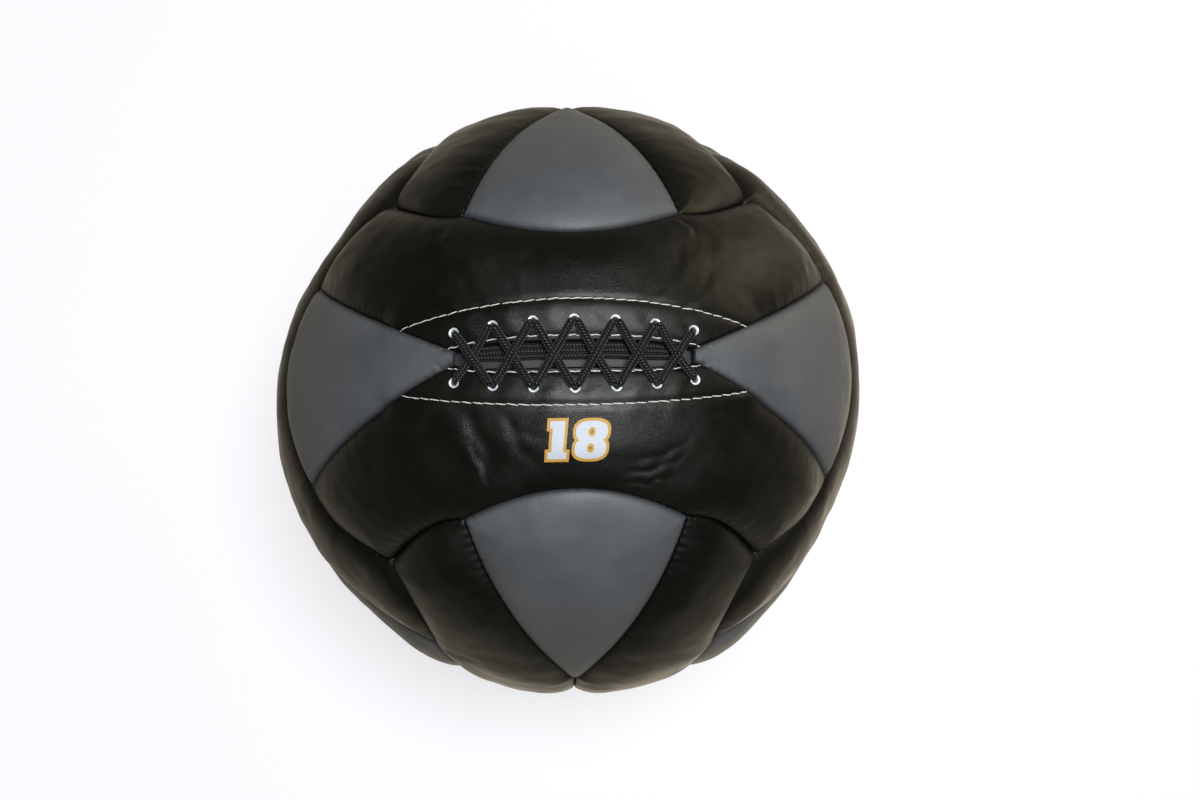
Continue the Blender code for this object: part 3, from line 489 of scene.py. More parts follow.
creases = (    # on the laced face: start and end (along, across), width and height, in mm
    (-60, -27, -40, -60, 4.6, 0.70), (-34, -32, -20, -54, 3.2, 0.30), (-58, -44, -44, -64, 2.0, 0.30),
    (-38, -29, -18, -40, 2.4, 0.22), (28, -62, 58, -47, 1.9, 0.34), (33, -54, 60, -40, 2.2, 0.26),
    (24, -68, 46, -60, 1.7, 0.22), (42, -56, 50, -66, 1.5, 0.22), (-44, 24, -76, 58, 2.6, 0.40),
    (-30, 30, -52, 62, 2.4, 0.30), (-58, 20, -92, 46, 2.8, 0.35), (52, 24, 84, 48, 2.8, 0.30),
    (38, 30, 62, 60, 2.6, 0.25), (64, 80, 70, 66, 2.0, 0.50), (-60, 66, -66, 50, 2.2, 0.35),
    (-70, -26, -98, -44, 3.0, 0.35), (70, -24, 98, -42, 3.0, 0.35),
)
creaseForm = {
    "depth": 1.4, "bend": 0.003, "waver": 0.0007,
    "bankHeight": 0.6, "bankWay": 2, "bankWidth": 1.6,      # in the crease's own heights and widths
}
groove = {"depth": 0.00045, "width": 0.0013, "bankHeight": 0.00012, "bankWay": 0.004, "bankWidth": 0.003}
tension = {
    "across": (0.004, 0.009), "along": (0.078, 0.060),      # ways over which it sets in and dies out
    "reach": 0.010, "inner": 0.7,                           # how far its ridges run, and their share inside the rows
    "fold": 0.00024, "ripple": 0.00010, "ripples": 1.9,     # heights, and ripples to an eyelet
    "swell": 0.0005, "swellWay": 0.004, "swellWidth": 0.006,
}
stitchLines = {
    # name: middle offset, drop at the end, half length, power, sign of across
    "outer_upper": (0.0278, 0.0110, 0.0945, 2.0, 1),
    "outer_lower": (0.0256, 0.0085, 0.0935, 2.0, -1),
    "inner_upper": (0.0094, 0.0050, 0.0690, 3.0, 1),
    "inner_lower": (0.0090, 0.0048, 0.0690, 3.0, -1),
}


def waves(points, size, seed, count=28):
    # smooth random lumps: a sum of plane waves of about one wavelength in all directions
    draw = np.random.default_rng(seed)
    ways = unit(draw.normal(size=(count, 3))) * (math.tau / size) * draw.uniform(0.65, 1.35, (count, 1))
    return np.cos(points @ ways.T + draw.uniform(0, math.tau, count)).sum(-1) / math.sqrt(count / 2)


def seamPuckers(way, travel, seed):
    # ridges across a seam: random waves along it, that rise and die out with the way from it
    total = 0 * way
    for k, (size, height) in enumerate(relief["puckers"]):
        draw = np.random.default_rng(seed * 10 + k)
        for _ in range(4):
            phase = travel * math.tau / (size * draw.uniform(0.7, 1.4)) + draw.uniform(0, math.tau)
            wave = np.sin(phase / 2 + draw.uniform(-0.4, 0.4) * way / size)
            ridge = relief["puckerLevel"] - np.sqrt(wave ** 2 + relief["puckerRound"])
            share = way / (relief["puckerTop"] * size)
            total = total + height / 2 * ridge * share * np.exp(1 - share)
    return total


def dentDepth(world):
    # the whole ball is a little out of round: soft dents round its equator
    total = 0 * world[..., 0]
    for turn, lift, spread, depth in dents:
        turn, lift = math.radians(turn), math.radians(lift)
        way = np.array([math.cos(turn) * math.cos(lift), math.sin(turn) * math.cos(lift), math.sin(lift)])
        angle = np.arccos(np.clip(unit(world) @ way, -1, 1))
        total = total + depth * bell(angle, math.radians(spread))
    return total


def creaseRelief(along, across):
    # each crease is a wavering trough with a low bank on one side, and fades out at both ends
    total = 0 * along
    for x0, y0, x1, y1, width, height in np.array(creases) / 1000:
        run = np.array([x1 - x0, y1 - y0])
        length = np.linalg.norm(run)
        share = ((along - x0) * run[0] + (across - y0) * run[1]) / length ** 2
        apart = ((along - x0) * run[1] - (across - y0) * run[0]) / length
        apart = apart + creaseForm["bend"] * np.sin(share * 3.1 + x0 * 90)
        apart = apart + creaseForm["waver"] * np.sin(share * 13 + y0 * 700)
        fade = smoothStep(share, -0.25, 0.3) * smoothStep(share, 1.25, 0.6)
        bank = bell(apart - creaseForm["bankWay"] * width, creaseForm["bankWidth"] * width)
        total = total - creaseForm["depth"] * height * fade * (bell(apart, width) - creaseForm["bankHeight"] * bank)
    return total


def stitchLine(name, along):
    middle, drop, half, power, sign = stitchLines[name]
    return sign * (middle - drop * (np.abs(along) / half) ** power)


def stitchGroove(along, across):
    # a groove under each row of stitches, with low banks on both sides
    total = 0 * along
    for name, (_, _, half, _, _) in stitchLines.items():
        off = np.abs(across - stitchLine(name, along))
        inside = smoothStep(np.abs(along), half + 0.004, half - 0.001)
        bank = groove["bankHeight"] * bell(off - groove["bankWay"], groove["bankWidth"])
        total = total - inside * (groove["depth"] * bell(off, groove["width"]) - bank)
    return total


def eyeletRow(along):
    # a row's way from the middle: it draws in with the square of the way to its ends
    half = (eyelets["count"] - 1) / 2 * eyelets["pitch"]
    return eyelets["middleOffset"] + (eyelets["endOffset"] - eyelets["middleOffset"]) * (along / half) ** 2


def tensionRelief(along, across):
    # dimples at the eyelets, soft ridges that run out from between them, and a swell beside the row
    total = 0 * along
    for sign in (1, -1):
        near = smoothStep(np.abs(along), *tension["along"]) * smoothStep(across * sign, *tension["across"])
        out = across * sign - eyeletRow(along)
        turns = (along + 0.0025 * np.sin(out * 160 + sign) + 0.0012 * np.sin(out * 420)) / eyelets["pitch"]
        fold = tension["fold"] * np.cos(math.tau * turns)
        ripple = tension["ripple"] * np.cos(math.tau * (turns * tension["ripples"] + 0.3 * sign))
        reach = np.exp(-np.abs(out) / tension["reach"]) * np.where(out > 0, 1, tension["inner"])
        swell = tension["swell"] * bell(out - tension["swellWay"], tension["swellWidth"])
        total = total + near * (swell - reach * (fold + ripple))
    return total


def mouthShare(directions, start, blend):
    # rises from none to all with the way from the slit
    along, across = np.multiply(lonLat(directions), crown)
    return smoothStep(np.hypot(np.maximum(np.abs(along) - tipWay, 0), across), start, start + blend)


def paddingShare(directions):
    return mouthShare(directions, mouth["flapReach"], mouth["flapBlend"])


def wayTo(directions, spot):
    # over the crown to a spot or the nearest of its mirror places
    return np.arccos(np.clip(np.abs(directions) @ np.abs(spot), -1, 1)) * crown


def seamSink(way, directions, long):
    # the broad dip beside a seam, deepest near the corners where three faces meet; a long panel
    # falls off from farther away beside the corners of the end panels
    spread = relief["seamSpread"]
    if long:
        nearJunction = bell(wayTo(directions, shortEdge(endShare)), relief["junctionSpread"])
        spread = spread * (1 + relief["junctionPull"] * nearJunction)
    nearCorner = bell(wayTo(directions, np.full(3, 1 / math.sqrt(3))), relief["cornerSpread"])
    return (relief["seamDepth"] + relief["cornerDepth"] * nearCorner) * np.exp(-way / spread)


def edgeRoll(way, radius):
    # a quarter round where the leather turns down
    left = np.clip(1 - way / radius, 0, 1)
    return radius * (1 - np.sqrt(1 - left ** 2))


def panelSeams(style):
    # the run of a panel that is sewn, and its slit if it has one
    laced = style.startswith("laced")
    if style.endswith("End"):
        side = endSide(np.linspace(0, 1, 401), laced)
        base = shortEdge(np.linspace(endShare, -endShare, 401))
        return np.vstack([side, base[1:], (side * flipY)[-2::-1]]), None
    inner, outer, left, right, _ = longRuns(laced)
    if not laced:
        return np.vstack([inner, right[1:], outer[-2::-1], left[-2:0:-1]]), None
    lon = lonLat(inner)[0]
    tip = ball["tipAngle"] + 1e-6
    first, last = inner[lon <= -tip + 2e-6], inner[lon >= tip - 2e-6]
    return np.vstack([last, right[1:], outer[-2::-1], left[-2:0:-1], first]), inner[np.abs(lon) <= tip]


def panelWays(style, directions):
    # ways to the seam, along it, and to the slit
    seam, slit = panelSeams(style)
    return *nearestOnRun(directions, seam), math.inf if slit is None else nearestOnRun(directions, slit)[0]


def coverRadius(style, own, world, ways, seed):
    # crown less the dips at the seams and slit, plus puckers, lumps, creases and stitch grooves
    way, travel, slitWay = ways
    laced = style.startswith("laced")
    padded = paddingShare(own) if laced else 1.0
    sink = seamSink(way, own, style.endswith("Long")) * (1 - mouth["flatSeam"] * (1 - padded))
    sink = np.hypot(sink, mouth["slitDepth"] * np.exp(-slitWay / mouth["slitSpread"]))
    dip = relief["stitchDip"] * (0.5 - 0.5 * np.cos(travel * math.tau / relief["stitchPitch"]))
    fine = seamPuckers(way, travel, seed) * (mouth["flatPuckers"] + (1 - mouth["flatPuckers"]) * padded)
    fine = fine - dip * np.exp(-way / relief["stitchSpread"])
    fine = fine - edgeRoll(way, relief["edgeRoll"]) - edgeRoll(slitWay, mouth["slitRoll"])
    calm = np.minimum(np.minimum(way, slitWay) / relief["calmWay"], 1)
    calm = calm * (mouth["flatLumps"] + (1 - mouth["flatLumps"]) * padded)
    for size, height, number in relief["lumps"]:
        fine = fine + height * waves(world, size, number) * calm
    if laced:
        along, across = np.multiply(lonLat(unit(world)), crown)
        folded = creaseRelief(along, across) + tensionRelief(along, across)
        fine = fine + folded * np.minimum(way / relief["creaseWay"], 1) + stitchGroove(along, across)
    return crown - dentDepth(world) - sink + fine


cells = {"plainLong": (300, 52), "plainEnd": (110, 70), "lacedLong": (380, 84), "lacedEnd": (120, 76)}


def wrapped(rows, columns, closeRows, closeColumns):
    # quads of a grid, joined end to end where asked
    index = np.arange(rows * columns).reshape(rows, columns)
    if closeRows:
        index = np.vstack([index, index[:1]])
    if closeColumns:
        index = np.hstack([index, index[:, :1]])
    return np.stack([index[:-1, :-1], index[1:, :-1], index[1:, 1:], index[:-1, 1:]], -1).reshape(-1, 4)


def borderLoop(rows, columns):
    loop = [(i, 0) for i in range(rows)]
    loop += [(rows - 1, j) for j in range(1, columns)]
    loop += [(i, columns - 1) for i in range(rows - 2, -1, -1)]
    loop += [(0, j) for j in range(columns - 2, 0, -1)]
    return np.array(loop)


def paddedShell(outside, inside):
    # an outer and an inner grid of points, joined along their border
    rows, columns = outside.shape[:2]
    count = rows * columns
    quads = wrapped(rows, columns, False, False)
    ring = borderLoop(rows, columns) @ (columns, 1)
    after = np.roll(ring, -1)
    wall = np.stack([after, ring, ring + count, after + count], -1)
    points = np.vstack([outside.reshape(-1, 3), inside.reshape(-1, 3)])
    return points, np.vstack([quads, quads[:, ::-1] + count, wall])


def panelGrid(kind, laced, count):
    return (longGrid if kind == "long" else endGrid)(laced, count)


def panelStyle(laced, kind):
    style = ("laced" if laced else "plain") + kind.capitalize()
    if style not in shapes:
        grid = panelGrid(kind, laced, cells[style])
        shapes[style] = (style, grid, panelWays(style, grid), clothFolds(kind, laced, grid.shape[:2]))
        print(f"{style} cloth blown, folds up to {np.abs(shapes[style][3]).max() * 1000:.2f} mm")
    return shapes[style]


# Folds: a panel's cloth, with a little slack, is blown out between its pinned borders

blown = {
    "radius": 0.174, "slack": 0.03, "pressure": 20.0, "mass": 0.15, "stiffness": 15.0, "shear": 5.0, "bending": 0.05,
    "frames": 20, "cells": {"long": (90, 22), "end": (44, 30)}, "blur": 6, "gain": 0.22,
}


def blurred(field, passes):
    # each pass takes the mean of a place and its four neighbours
    for _ in range(passes):
        wide = np.pad(field, 1, mode="edge")
        field = (wide[:-2, 1:-1] + wide[2:, 1:-1] + wide[1:-1, :-2] + wide[1:-1, 2:] + field) / 5
    return field


def blowOut(grid):
    rows, columns = grid.shape[:2]
    mesh = bpy.data.meshes.new("cloth")
    mesh.from_pydata(grid.reshape(-1, 3) * blown["radius"], [], wrapped(rows, columns, False, False))
    piece = stand("cloth", mesh)
    pins = borderLoop(rows, columns) @ (columns, 1)
    piece.vertex_groups.new(name="pins").add(pins.tolist(), 1.0, "REPLACE")
    cloth = piece.modifiers.new("cloth", "CLOTH")
    cloth.point_cache.frame_start, cloth.point_cache.frame_end = 1, blown["frames"]
    settings = cloth.settings
    settings.vertex_group_mass = "pins"
    settings.mass = blown["mass"]
    settings.tension_stiffness = settings.compression_stiffness = blown["stiffness"]
    settings.shear_stiffness, settings.bending_stiffness = blown["shear"], blown["bending"]
    settings.shrink_min = -blown["slack"]
    settings.use_pressure, settings.uniform_pressure_force = True, blown["pressure"]
    settings.effector_weights.gravity = 0
    for moment in range(1, blown["frames"] + 1):
        bpy.context.scene.frame_set(moment)
    moved = np.empty(rows * columns * 3, dtype=np.float32)
    piece.evaluated_get(bpy.context.evaluated_depsgraph_get()).data.vertices.foreach_get("co", moved)
    bpy.data.objects.remove(piece)
    bpy.context.scene.frame_set(1)
    return np.linalg.norm(moved.reshape(rows, columns, 3), axis=-1) - blown["radius"]


def clothFolds(kind, laced, shape):
    # what the blown cloth adds to its own smooth puff, brought to the panel's grid
    grid = panelGrid(kind, laced, blown["cells"][kind])
    raised = np.zeros(grid.shape[:2])
    first = 0 if kind == "long" else 1        # an end panel's first row is a single point
    raised[first:] = blowOut(grid[first:])
    fold = raised - blurred(raised, blown["blur"])
    for count in shape:
        # turned over, so the second round brings the columns to their number and turns it back
        spots = np.linspace(0, fold.shape[0] - 1, count)
        fold = np.stack([np.interp(spots, np.arange(fold.shape[0]), column) for column in fold.T])
    return blown["gain"] * blurred(fold, blown["blur"])


shapes = {}
panelMaterials = {"long": (blackLeather, "black_leather"), "end": (greyLeather, "grey_leather")}
panelSeeds = (11, 12)             # of the laced face's long panels
firstSeed = 51                    # of the others


def lacedSurface(along, across):
    # radius of the laced face's long panels at places along and across it
    along, across = np.broadcast_arrays(np.asarray(along, float), np.asarray(across, float))
    world = place(along, across, np.ones(along.shape))
    own = np.where(across[..., None] < 0, world * halfTurn, world)
    ways = panelWays("lacedLong", own)
    radius = [coverRadius("lacedLong", own, world * crown, ways, seed) for seed in panelSeeds]
    return np.where(across < 0, radius[1], radius[0])


def addPanels():
    seed = firstSeed
    for order, (face, axes) in enumerate(faces.items()):
        laced = face == "laced"
        for side in (1, 2):
            for kind in ("long", "end"):
                style, grid, ways, folds = panelStyle(laced, kind)
                if (order + side) % 2:
                    folds = folds[::-1] if kind == "long" else folds[:, ::-1]
                # rows of the axes are the face's ways along, across and out
                world = grid * (halfTurn if side == 2 else 1) @ np.array(axes, float)
                flap = style == "lacedLong"
                radius = coverRadius(style, grid, world * crown, ways, panelSeeds[side - 1] if flap else seed)
                core = np.full(radius.shape, ball["core"])
                if laced:
                    folds = folds * mouthShare(grid, mouth["foldStart"], mouth["foldBlend"])
                    padded = paddingShare(grid)
                    core = np.where(padded < 1, radius + folds - mouth["flapWall"], core)
                    core = core + (ball["core"] - core) * padded
                radius = radius + folds
                outside = world * radius[..., None]
                if face == "rest":
                    outside[..., 2] = np.maximum(outside[..., 2], -ball["restLevel"])
                points, quads = paddedShell(outside, world * np.minimum(core, radius - ball["thinnest"])[..., None])
                seamWay = np.minimum(ways[0], ways[2])
                piece = makeObject(f"{face}_{kind}_leather_{side}", points, quads,
                                   values={"seamWay": [seamWay, 0 * seamWay]}, change=punchHoles if flap else None)
                material, slot = panelMaterials[kind]
                settle(piece, material, slot, f"{face}_{kind}_panel_{side}")
                seed += 1
    print("cover panels made")


# Mouth: a table of the leather's height round it, which its pieces are set on

field = {"halfLength": 0.104, "halfWidth": 0.070, "step": 0.0006}
eyelets = {
    "count": 7, "pitch": 0.0205, "middleOffset": 0.0170, "endOffset": 0.0126,
    "bore": 0.00155, "crest": 0.00242, "lip": 0.0027, "lipRise": 0.00048, "wall": 0.00035, "hole": 0.0025,
    "depth": 0.0066,              # from the leather down to the clenched end
    "punch": 0.01,                # how far up and down a hole is cut
    "sides": 40,
    "rim": 0.0001, "under": 0.00008,             # easing of corners, and the lip's edge below the leather
}


def makeField():
    along = np.arange(-field["halfLength"], field["halfLength"], field["step"])
    across = np.arange(-field["halfWidth"], field["halfWidth"], field["step"])
    return along, across, lacedSurface(along[:, None], across[None])


fieldAlong, fieldAcross, fieldRadius = makeField()


def leatherAt(along, across, clear=0.0010):
    # the leather's radius between the table's four nearest places; over the slit, that of the slit's edge
    along, across = np.broadcast_arrays(np.asarray(along, float), np.asarray(across, float))
    edge = slitHalfWidth(along) + clear
    across = np.where(across < 0, -1, 1) * np.maximum(np.abs(across), edge)
    u = np.clip((along - fieldAlong[0]) / field["step"], 0, len(fieldAlong) - 1.001)
    v = np.clip((across - fieldAcross[0]) / field["step"], 0, len(fieldAcross) - 1.001)
    i, j = u.astype(int), v.astype(int)
    u, v = u - i, v - j
    return ((1 - u) * (1 - v) * fieldRadius[i, j] + u * (1 - v) * fieldRadius[i + 1, j]
            + (1 - u) * v * fieldRadius[i, j + 1] + u * v * fieldRadius[i + 1, j + 1])


def eyeletSpots():
    k = np.arange(eyelets["count"])
    along = (k - (eyelets["count"] - 1) / 2) * eyelets["pitch"]
    return {(row, n): (along[n], row * eyeletRow(along[n])) for row in (1, -1) for n in k}


spots = eyeletSpots()


def standing(along, across):
    # rows: along the slit, across it, out of the ball
    out = place(along, across, 1.0)
    side = unit(np.cross((0, 1, 0), out))
    return np.array([side, np.cross(out, side), out])


def onLeather(along, across):
    return place(along, across, float(leatherAt(along, across)))


def punchHoles(work):
    # opens a round hole for each eyelet through the outer and inner leather, and walls it
    for along, across in spots.values():
        axes, middle = standing(along, across), onLeather(along, across)
        ways = (np.array([face.calc_center_median() for face in work.faces]) - middle) @ axes.T
        near = (np.hypot(ways[:, 0], ways[:, 1]) < eyelets["hole"]) & (np.abs(ways[:, 2]) < eyelets["punch"])
        inside = [face for face, chosen in zip(work.faces, near) if chosen]
        if not inside:
            continue
        bmesh.ops.delete(work, geom=inside, context="FACES")
        rim = [edge for edge in work.edges if edge.is_boundary]
        for vert in {vert for edge in rim for vert in edge.verts}:
            way = axes @ (np.array(vert.co) - middle)
            way[:2] *= eyelets["hole"] / math.hypot(way[0], way[1])
            vert.co = middle + way @ axes
        bmesh.ops.bridge_loops(work, edges=rim)


addPanels()


def turned(profile, sides):
    # a closed profile of (radius, height) points carried round the height axis
    profile = np.array(profile, float)
    angle = circle(sides)[:, None]
    points = np.stack([profile[:, 0] * np.cos(angle), profile[:, 0] * np.sin(angle), profile[:, 1] + 0 * angle], -1)
    return points, wrapped(sides, len(profile), True, True)


def eyeletProfile():
    # from the barrel up a dished mouth to the crest, round to the leather, and down to a clenched end
    bore, crest, wall, low = eyelets["bore"], eyelets["crest"], eyelets["wall"], -eyelets["depth"]
    share = np.linspace(0, 1, 7)
    dish = zip(bore + (crest - bore) * share, eyelets["lipRise"] * share ** 0.75)
    bend = np.linspace(math.pi / 2, 0, 6)[1:]
    edge = eyelets["lip"] - crest
    top = [(bore, -wall), *dish] + [(crest + edge * math.cos(a), eyelets["lipRise"] * math.sin(a)) for a in bend]
    outer = eyelets["lip"] - wall
    under = [(eyelets["lip"] - eyelets["rim"], -eyelets["under"]), (bore + wall, -eyelets["under"] - wall),
             (bore + wall, low + 2 * wall), (outer, low + wall), (outer, low)]
    return top + under + [(bore + eyelets["rim"], low), (bore, low + wall)]


def addEyelets():
    points, quads = turned(eyeletProfile(), eyelets["sides"])
    for (row, k), (along, across) in spots.items():
        world = points.reshape(-1, 3) @ standing(along, across) + onLeather(along, across)
        name = f"{'upper' if row > 0 else 'lower'}_{k + 1}"
        settle(makeObject(f"nickel_eyelet_{name}", world, quads), nickel, "eyelet_metal", f"eyelet_{name}")
    print("eyelets made")


addEyelets()

tongue = {
    "halfLength": 0.072, "halfWidth": 0.0088, "wall": 0.0014, "depth": 0.0104, "crown": 0.0004, "dent": 0.0001,
    "lift": 0.0014,               # it stands up between the flaps
    "cells": (240, 40),
}


def addTongue():
    # a thin strip, a little bowed across, with shallow dents where the lace presses
    u, v = np.meshgrid(*(np.linspace(-1, 1, count) for count in tongue["cells"]), indexing="ij")
    along, across = u * tongue["halfLength"], v * tongue["halfWidth"]
    radius = crown - tongue["depth"] + tongue["lift"] - tongue["crown"] * v ** 2
    radius = radius - tongue["dent"] * np.cos(along * math.tau / eyelets["pitch"]) * (1 - v ** 2)
    points, quads = paddedShell(place(along, across, radius), place(along, across, radius - tongue["wall"]))
    settle(makeObject("tongue_leather_strip", points, quads), tongueLeatherPaintedSheen, "tongue_leather", "tongue")


addTongue()

facing = {"wall": 0.0012, "gap": 0.0008, "width": 0.026, "endWidth": 0.018, "halfLength": 0.076, "inset": 0.001,
          "cells": (200, 16)}


def addFacings():
    # strips under the flaps: from just behind the slit or seam to an edge that narrows to the ends
    far = lonLat(endSide(1.0, True))[0] * crown
    along, share = np.meshgrid(np.linspace(-1, 1, facing["cells"][0]) * facing["halfLength"],
                               np.linspace(0, 1, facing["cells"][1]), indexing="ij")
    past = np.clip((np.abs(along) - tipWay) / (far - tipWay), 0, 1)
    seam = lonLat(endSide(past, True))[1] * crown
    near = np.where(np.abs(along) < tipWay, slitHalfWidth(along), seam) + facing["inset"]
    narrow = (facing["width"] - facing["endWidth"]) * (along / facing["halfLength"]) ** 2
    across = near + (facing["width"] - narrow - near) * share
    for side, sign in ((1, 1), (2, -1)):
        radius = leatherAt(sign * along, sign * across) - mouth["flapWall"] - facing["gap"]
        points, quads = paddedShell(place(sign * along, sign * across, radius),
                                    place(sign * along, sign * across, radius - facing["wall"]))
        piece = makeObject(f"facing_cloth_{side}", points, quads, change=punchHoles)
        settle(piece, liningCloth, "lining_cloth", f"eyelet_facing_{side}")


addFacings()
print("tongue and facings made")

# Stitches: slanted twisted yarns that dip into the leather at both ends

stitches = {"length": 0.0072, "pitch": 0.00575, "radius": 0.00029, "slant": 0.00030, "rings": 14, "sides": 10,
            "twists": 3.5, "jitter": 0.00016, "ridge": 0.08, "rise": 1.5, "sink": 1.1, "wide": 1.05, "tall": 0.85}


def addStitches():
    rings, sides = stitches["rings"], stitches["sides"]
    size = rings * sides
    share = np.linspace(0, 1, rings)[None, :, None]
    angle = circle(sides)[None, None]
    base = wrapped(rings, sides, False, True)
    ends = np.array([[0], [size - sides]]) + np.arange(sides)
    points, faceList, caps, twist, total = [], [], [], [], 0
    draw = np.random.default_rng(5)
    for name, (_, _, half, _, sign) in stitchLines.items():
        fine = np.linspace(-half, half, 800)
        way = travelled(np.column_stack([fine, stitchLine(name, fine)]))
        count = int(way[-1] / stitches["pitch"])
        jitter = draw.normal(0, stitches["jitter"], (count, 4))[..., None, None]
        start = np.arange(count)[:, None, None] * way[-1] / count + jitter[:, 0]
        travel = start + share * (stitches["length"] + jitter[:, 1])
        lean = (share - 0.5) * 2 * (stitches["slant"] * sign + jitter[:, 2] * 0.5)
        along = np.interp(travel, way, fine)
        across = stitchLine(name, along) + lean + jitter[:, 3] * 0.4
        # thickest a little past its middle, half as thick at its ends
        bulge = 0.5 + 0.5 * np.sin(math.pi * np.clip(share * 1.15 - 0.1, 0, 1)) ** 0.7
        ridges = 1 + stitches["ridge"] * np.sin(math.tau * stitches["twists"] * share * 2 + 2 * angle)
        radius = stitches["radius"] * bulge * ridges
        rise = stitches["radius"] * (stitches["rise"] * np.sin(math.pi * share) ** 0.6 - stitches["sink"])
        out = leatherAt(along, across) + rise
        # a circle round each middle: across the line and up from the leather
        ring = place(along, across + radius * np.cos(angle) * stitches["wide"],
                     out + radius * np.sin(angle) * stitches["tall"])
        firsts = total + size * np.arange(count)[:, None, None]
        faceList += (base + firsts).reshape(-1, 4).tolist()
        caps += (ends + firsts).reshape(-1, sides).tolist()
        total += size * count
        points.append(ring.reshape(-1, 3))
        twist.append(np.broadcast_to(share * stitches["twists"] + angle / math.tau, ring.shape[:-1]).ravel())
    piece = makeObject("seam_stitches", np.vstack(points), faceList + caps, values={"twist": np.concatenate(twist)})
    settle(piece, stitchThread, "tie_string")
    print("stitches made")


addStitches()

# Lace: its route is a list of (along, across, radius, half width, half height)

lace = {
    "halfWidth": 0.00215, "halfHeight": 0.00125, "bore": 0.00080, "sideStep": 0.00078, "pull": 0.00010,
    "underWidth": 0.0017, "underHeight": 0.00078, "gap": 0.00012, "crossingGap": 0.0002, "climb": 0.33,
    "sparePitch": 0.0027, "spareShift": 0.0023, "spareHalfLength": 0.050, "spareWidth": 0.00145,
    "spareHeight": 0.00125, "spareCount": 7, "spareWaver": 0.00015, "tongueClear": 0.0006, "layerClear": 0.0004,
    "legShares": ((0.038, 0.84, 1.4), (0.11, 0.98, 0.6), (0.32, 1.0, 0.0)),    # way, size and rise to an eyelet
    "press": 0.35,                # of the half height, where the first legs lie in the slit
    "underTurn": 0.01, "underReach": 0.125,
    "diveRuns": ((-1.6, 0.12, 0.70), (0.9, 0.45, 0.58)),
    "diveHook": ((3.2, -3.2), (0.9, -2.9), (0.0, -1.0), (0.0, 2.0)),
    "columns": 6, "pointsAColumn": 5, "cell": 0.00160, "lean": 0.50, "plait": 0.00064,
    "plaitRound": 0.6, "plaitLevel": 0.6, "plaitFade": 0.8, "squareness": 0.86, "capLength": 0.0015,
    "diveWiden": 1.2, "flatEnough": 0.75,
    "shownStep": 0.00034, "hiddenStep": 0.0016, "nearest": 0.00035, "between": 24,
    "mouthRise": 0.8, "flatten": 0.3,      # share of the lip under the lace, and the power that thins a narrow leg
}


def eyeletEnds(along, across):
    top = float(leatherAt(along, across))
    return top - eyelets["depth"], top + eyelets["lipRise"]


def laceLeg(start, end, crossing):
    # from eyelet to eyelet over the slit, flat on the leather, through the given radius in the middle
    (x0, y0), (x1, y1) = start, end
    middle = y0 / (y0 - y1)
    half = list(lace["legShares"])
    points = []
    for way, size, rise in half + [(middle, 1, 0)] + [(1 - w, s, r) for w, s, r in half[::-1]]:
        x, y = x0 + (x1 - x0) * way, y0 + (y1 - y0) * way
        radius = float(leatherAt(x, y)) + lace["gap"] + lace["halfHeight"]
        radius += rise * eyelets["lipRise"] * lace["mouthRise"]
        if way == middle:
            radius = crossing
        elif rise == 0:
            radius += lace["climb"] * max(0, crossing - radius)
        points.append((x, y, radius, lace["halfWidth"] * size, lace["halfHeight"] * size ** lace["flatten"]))
    first, last = ((x, y, eyeletEnds(x, y)[1], lace["bore"], lace["bore"]) for x, y in (start, end))
    return [first, *points, last]


def laceUnder(start, end, layer):
    # down through one eyelet, below the tongue, and up through another
    (x0, y0), (x1, y1) = start, end
    bottom = min(eyeletEnds(*start)[0], eyeletEnds(*end)[0])
    bore = lace["bore"]
    half = [(0, bottom + 2 * bore, bore, bore), (lace["underTurn"], bottom - 2 * bore, bore, bore),
            (lace["underReach"], layer, lace["underWidth"], lace["underHeight"])]
    middle = [(1 / 2, layer, lace["underWidth"], lace["underHeight"])]
    points = []
    for way, radius, width, height in half + middle + [(1 - w, r, a, b) for w, r, a, b in half[::-1]]:
        swing = np.clip((way - lace["underReach"]) / (1 - 2 * lace["underReach"]), 0, 1)
        points.append((x0 + (x1 - x0) * swing, y0 + (y1 - y0) * way, radius, width, height))
    return points


def laceDive(x, y, spare):
    # from the spare runs under the left end of the mouth, and hooked up into an eyelet
    bottom = eyeletEnds(x, y)[0]
    bore = lace["bore"]
    wide = lace["spareWidth"] * lace["diveWiden"]
    points = [(start + pitches * lace["sparePitch"], y * share, spare, wide * size, lace["spareHeight"] * size)
              for start, (pitches, share, size) in zip((-lace["spareHalfLength"], x), lace["diveRuns"])]
    return points + [(x, y - math.copysign(short, y) * bore, bottom + above * bore, bore, bore)
                     for short, above in lace["diveHook"]]


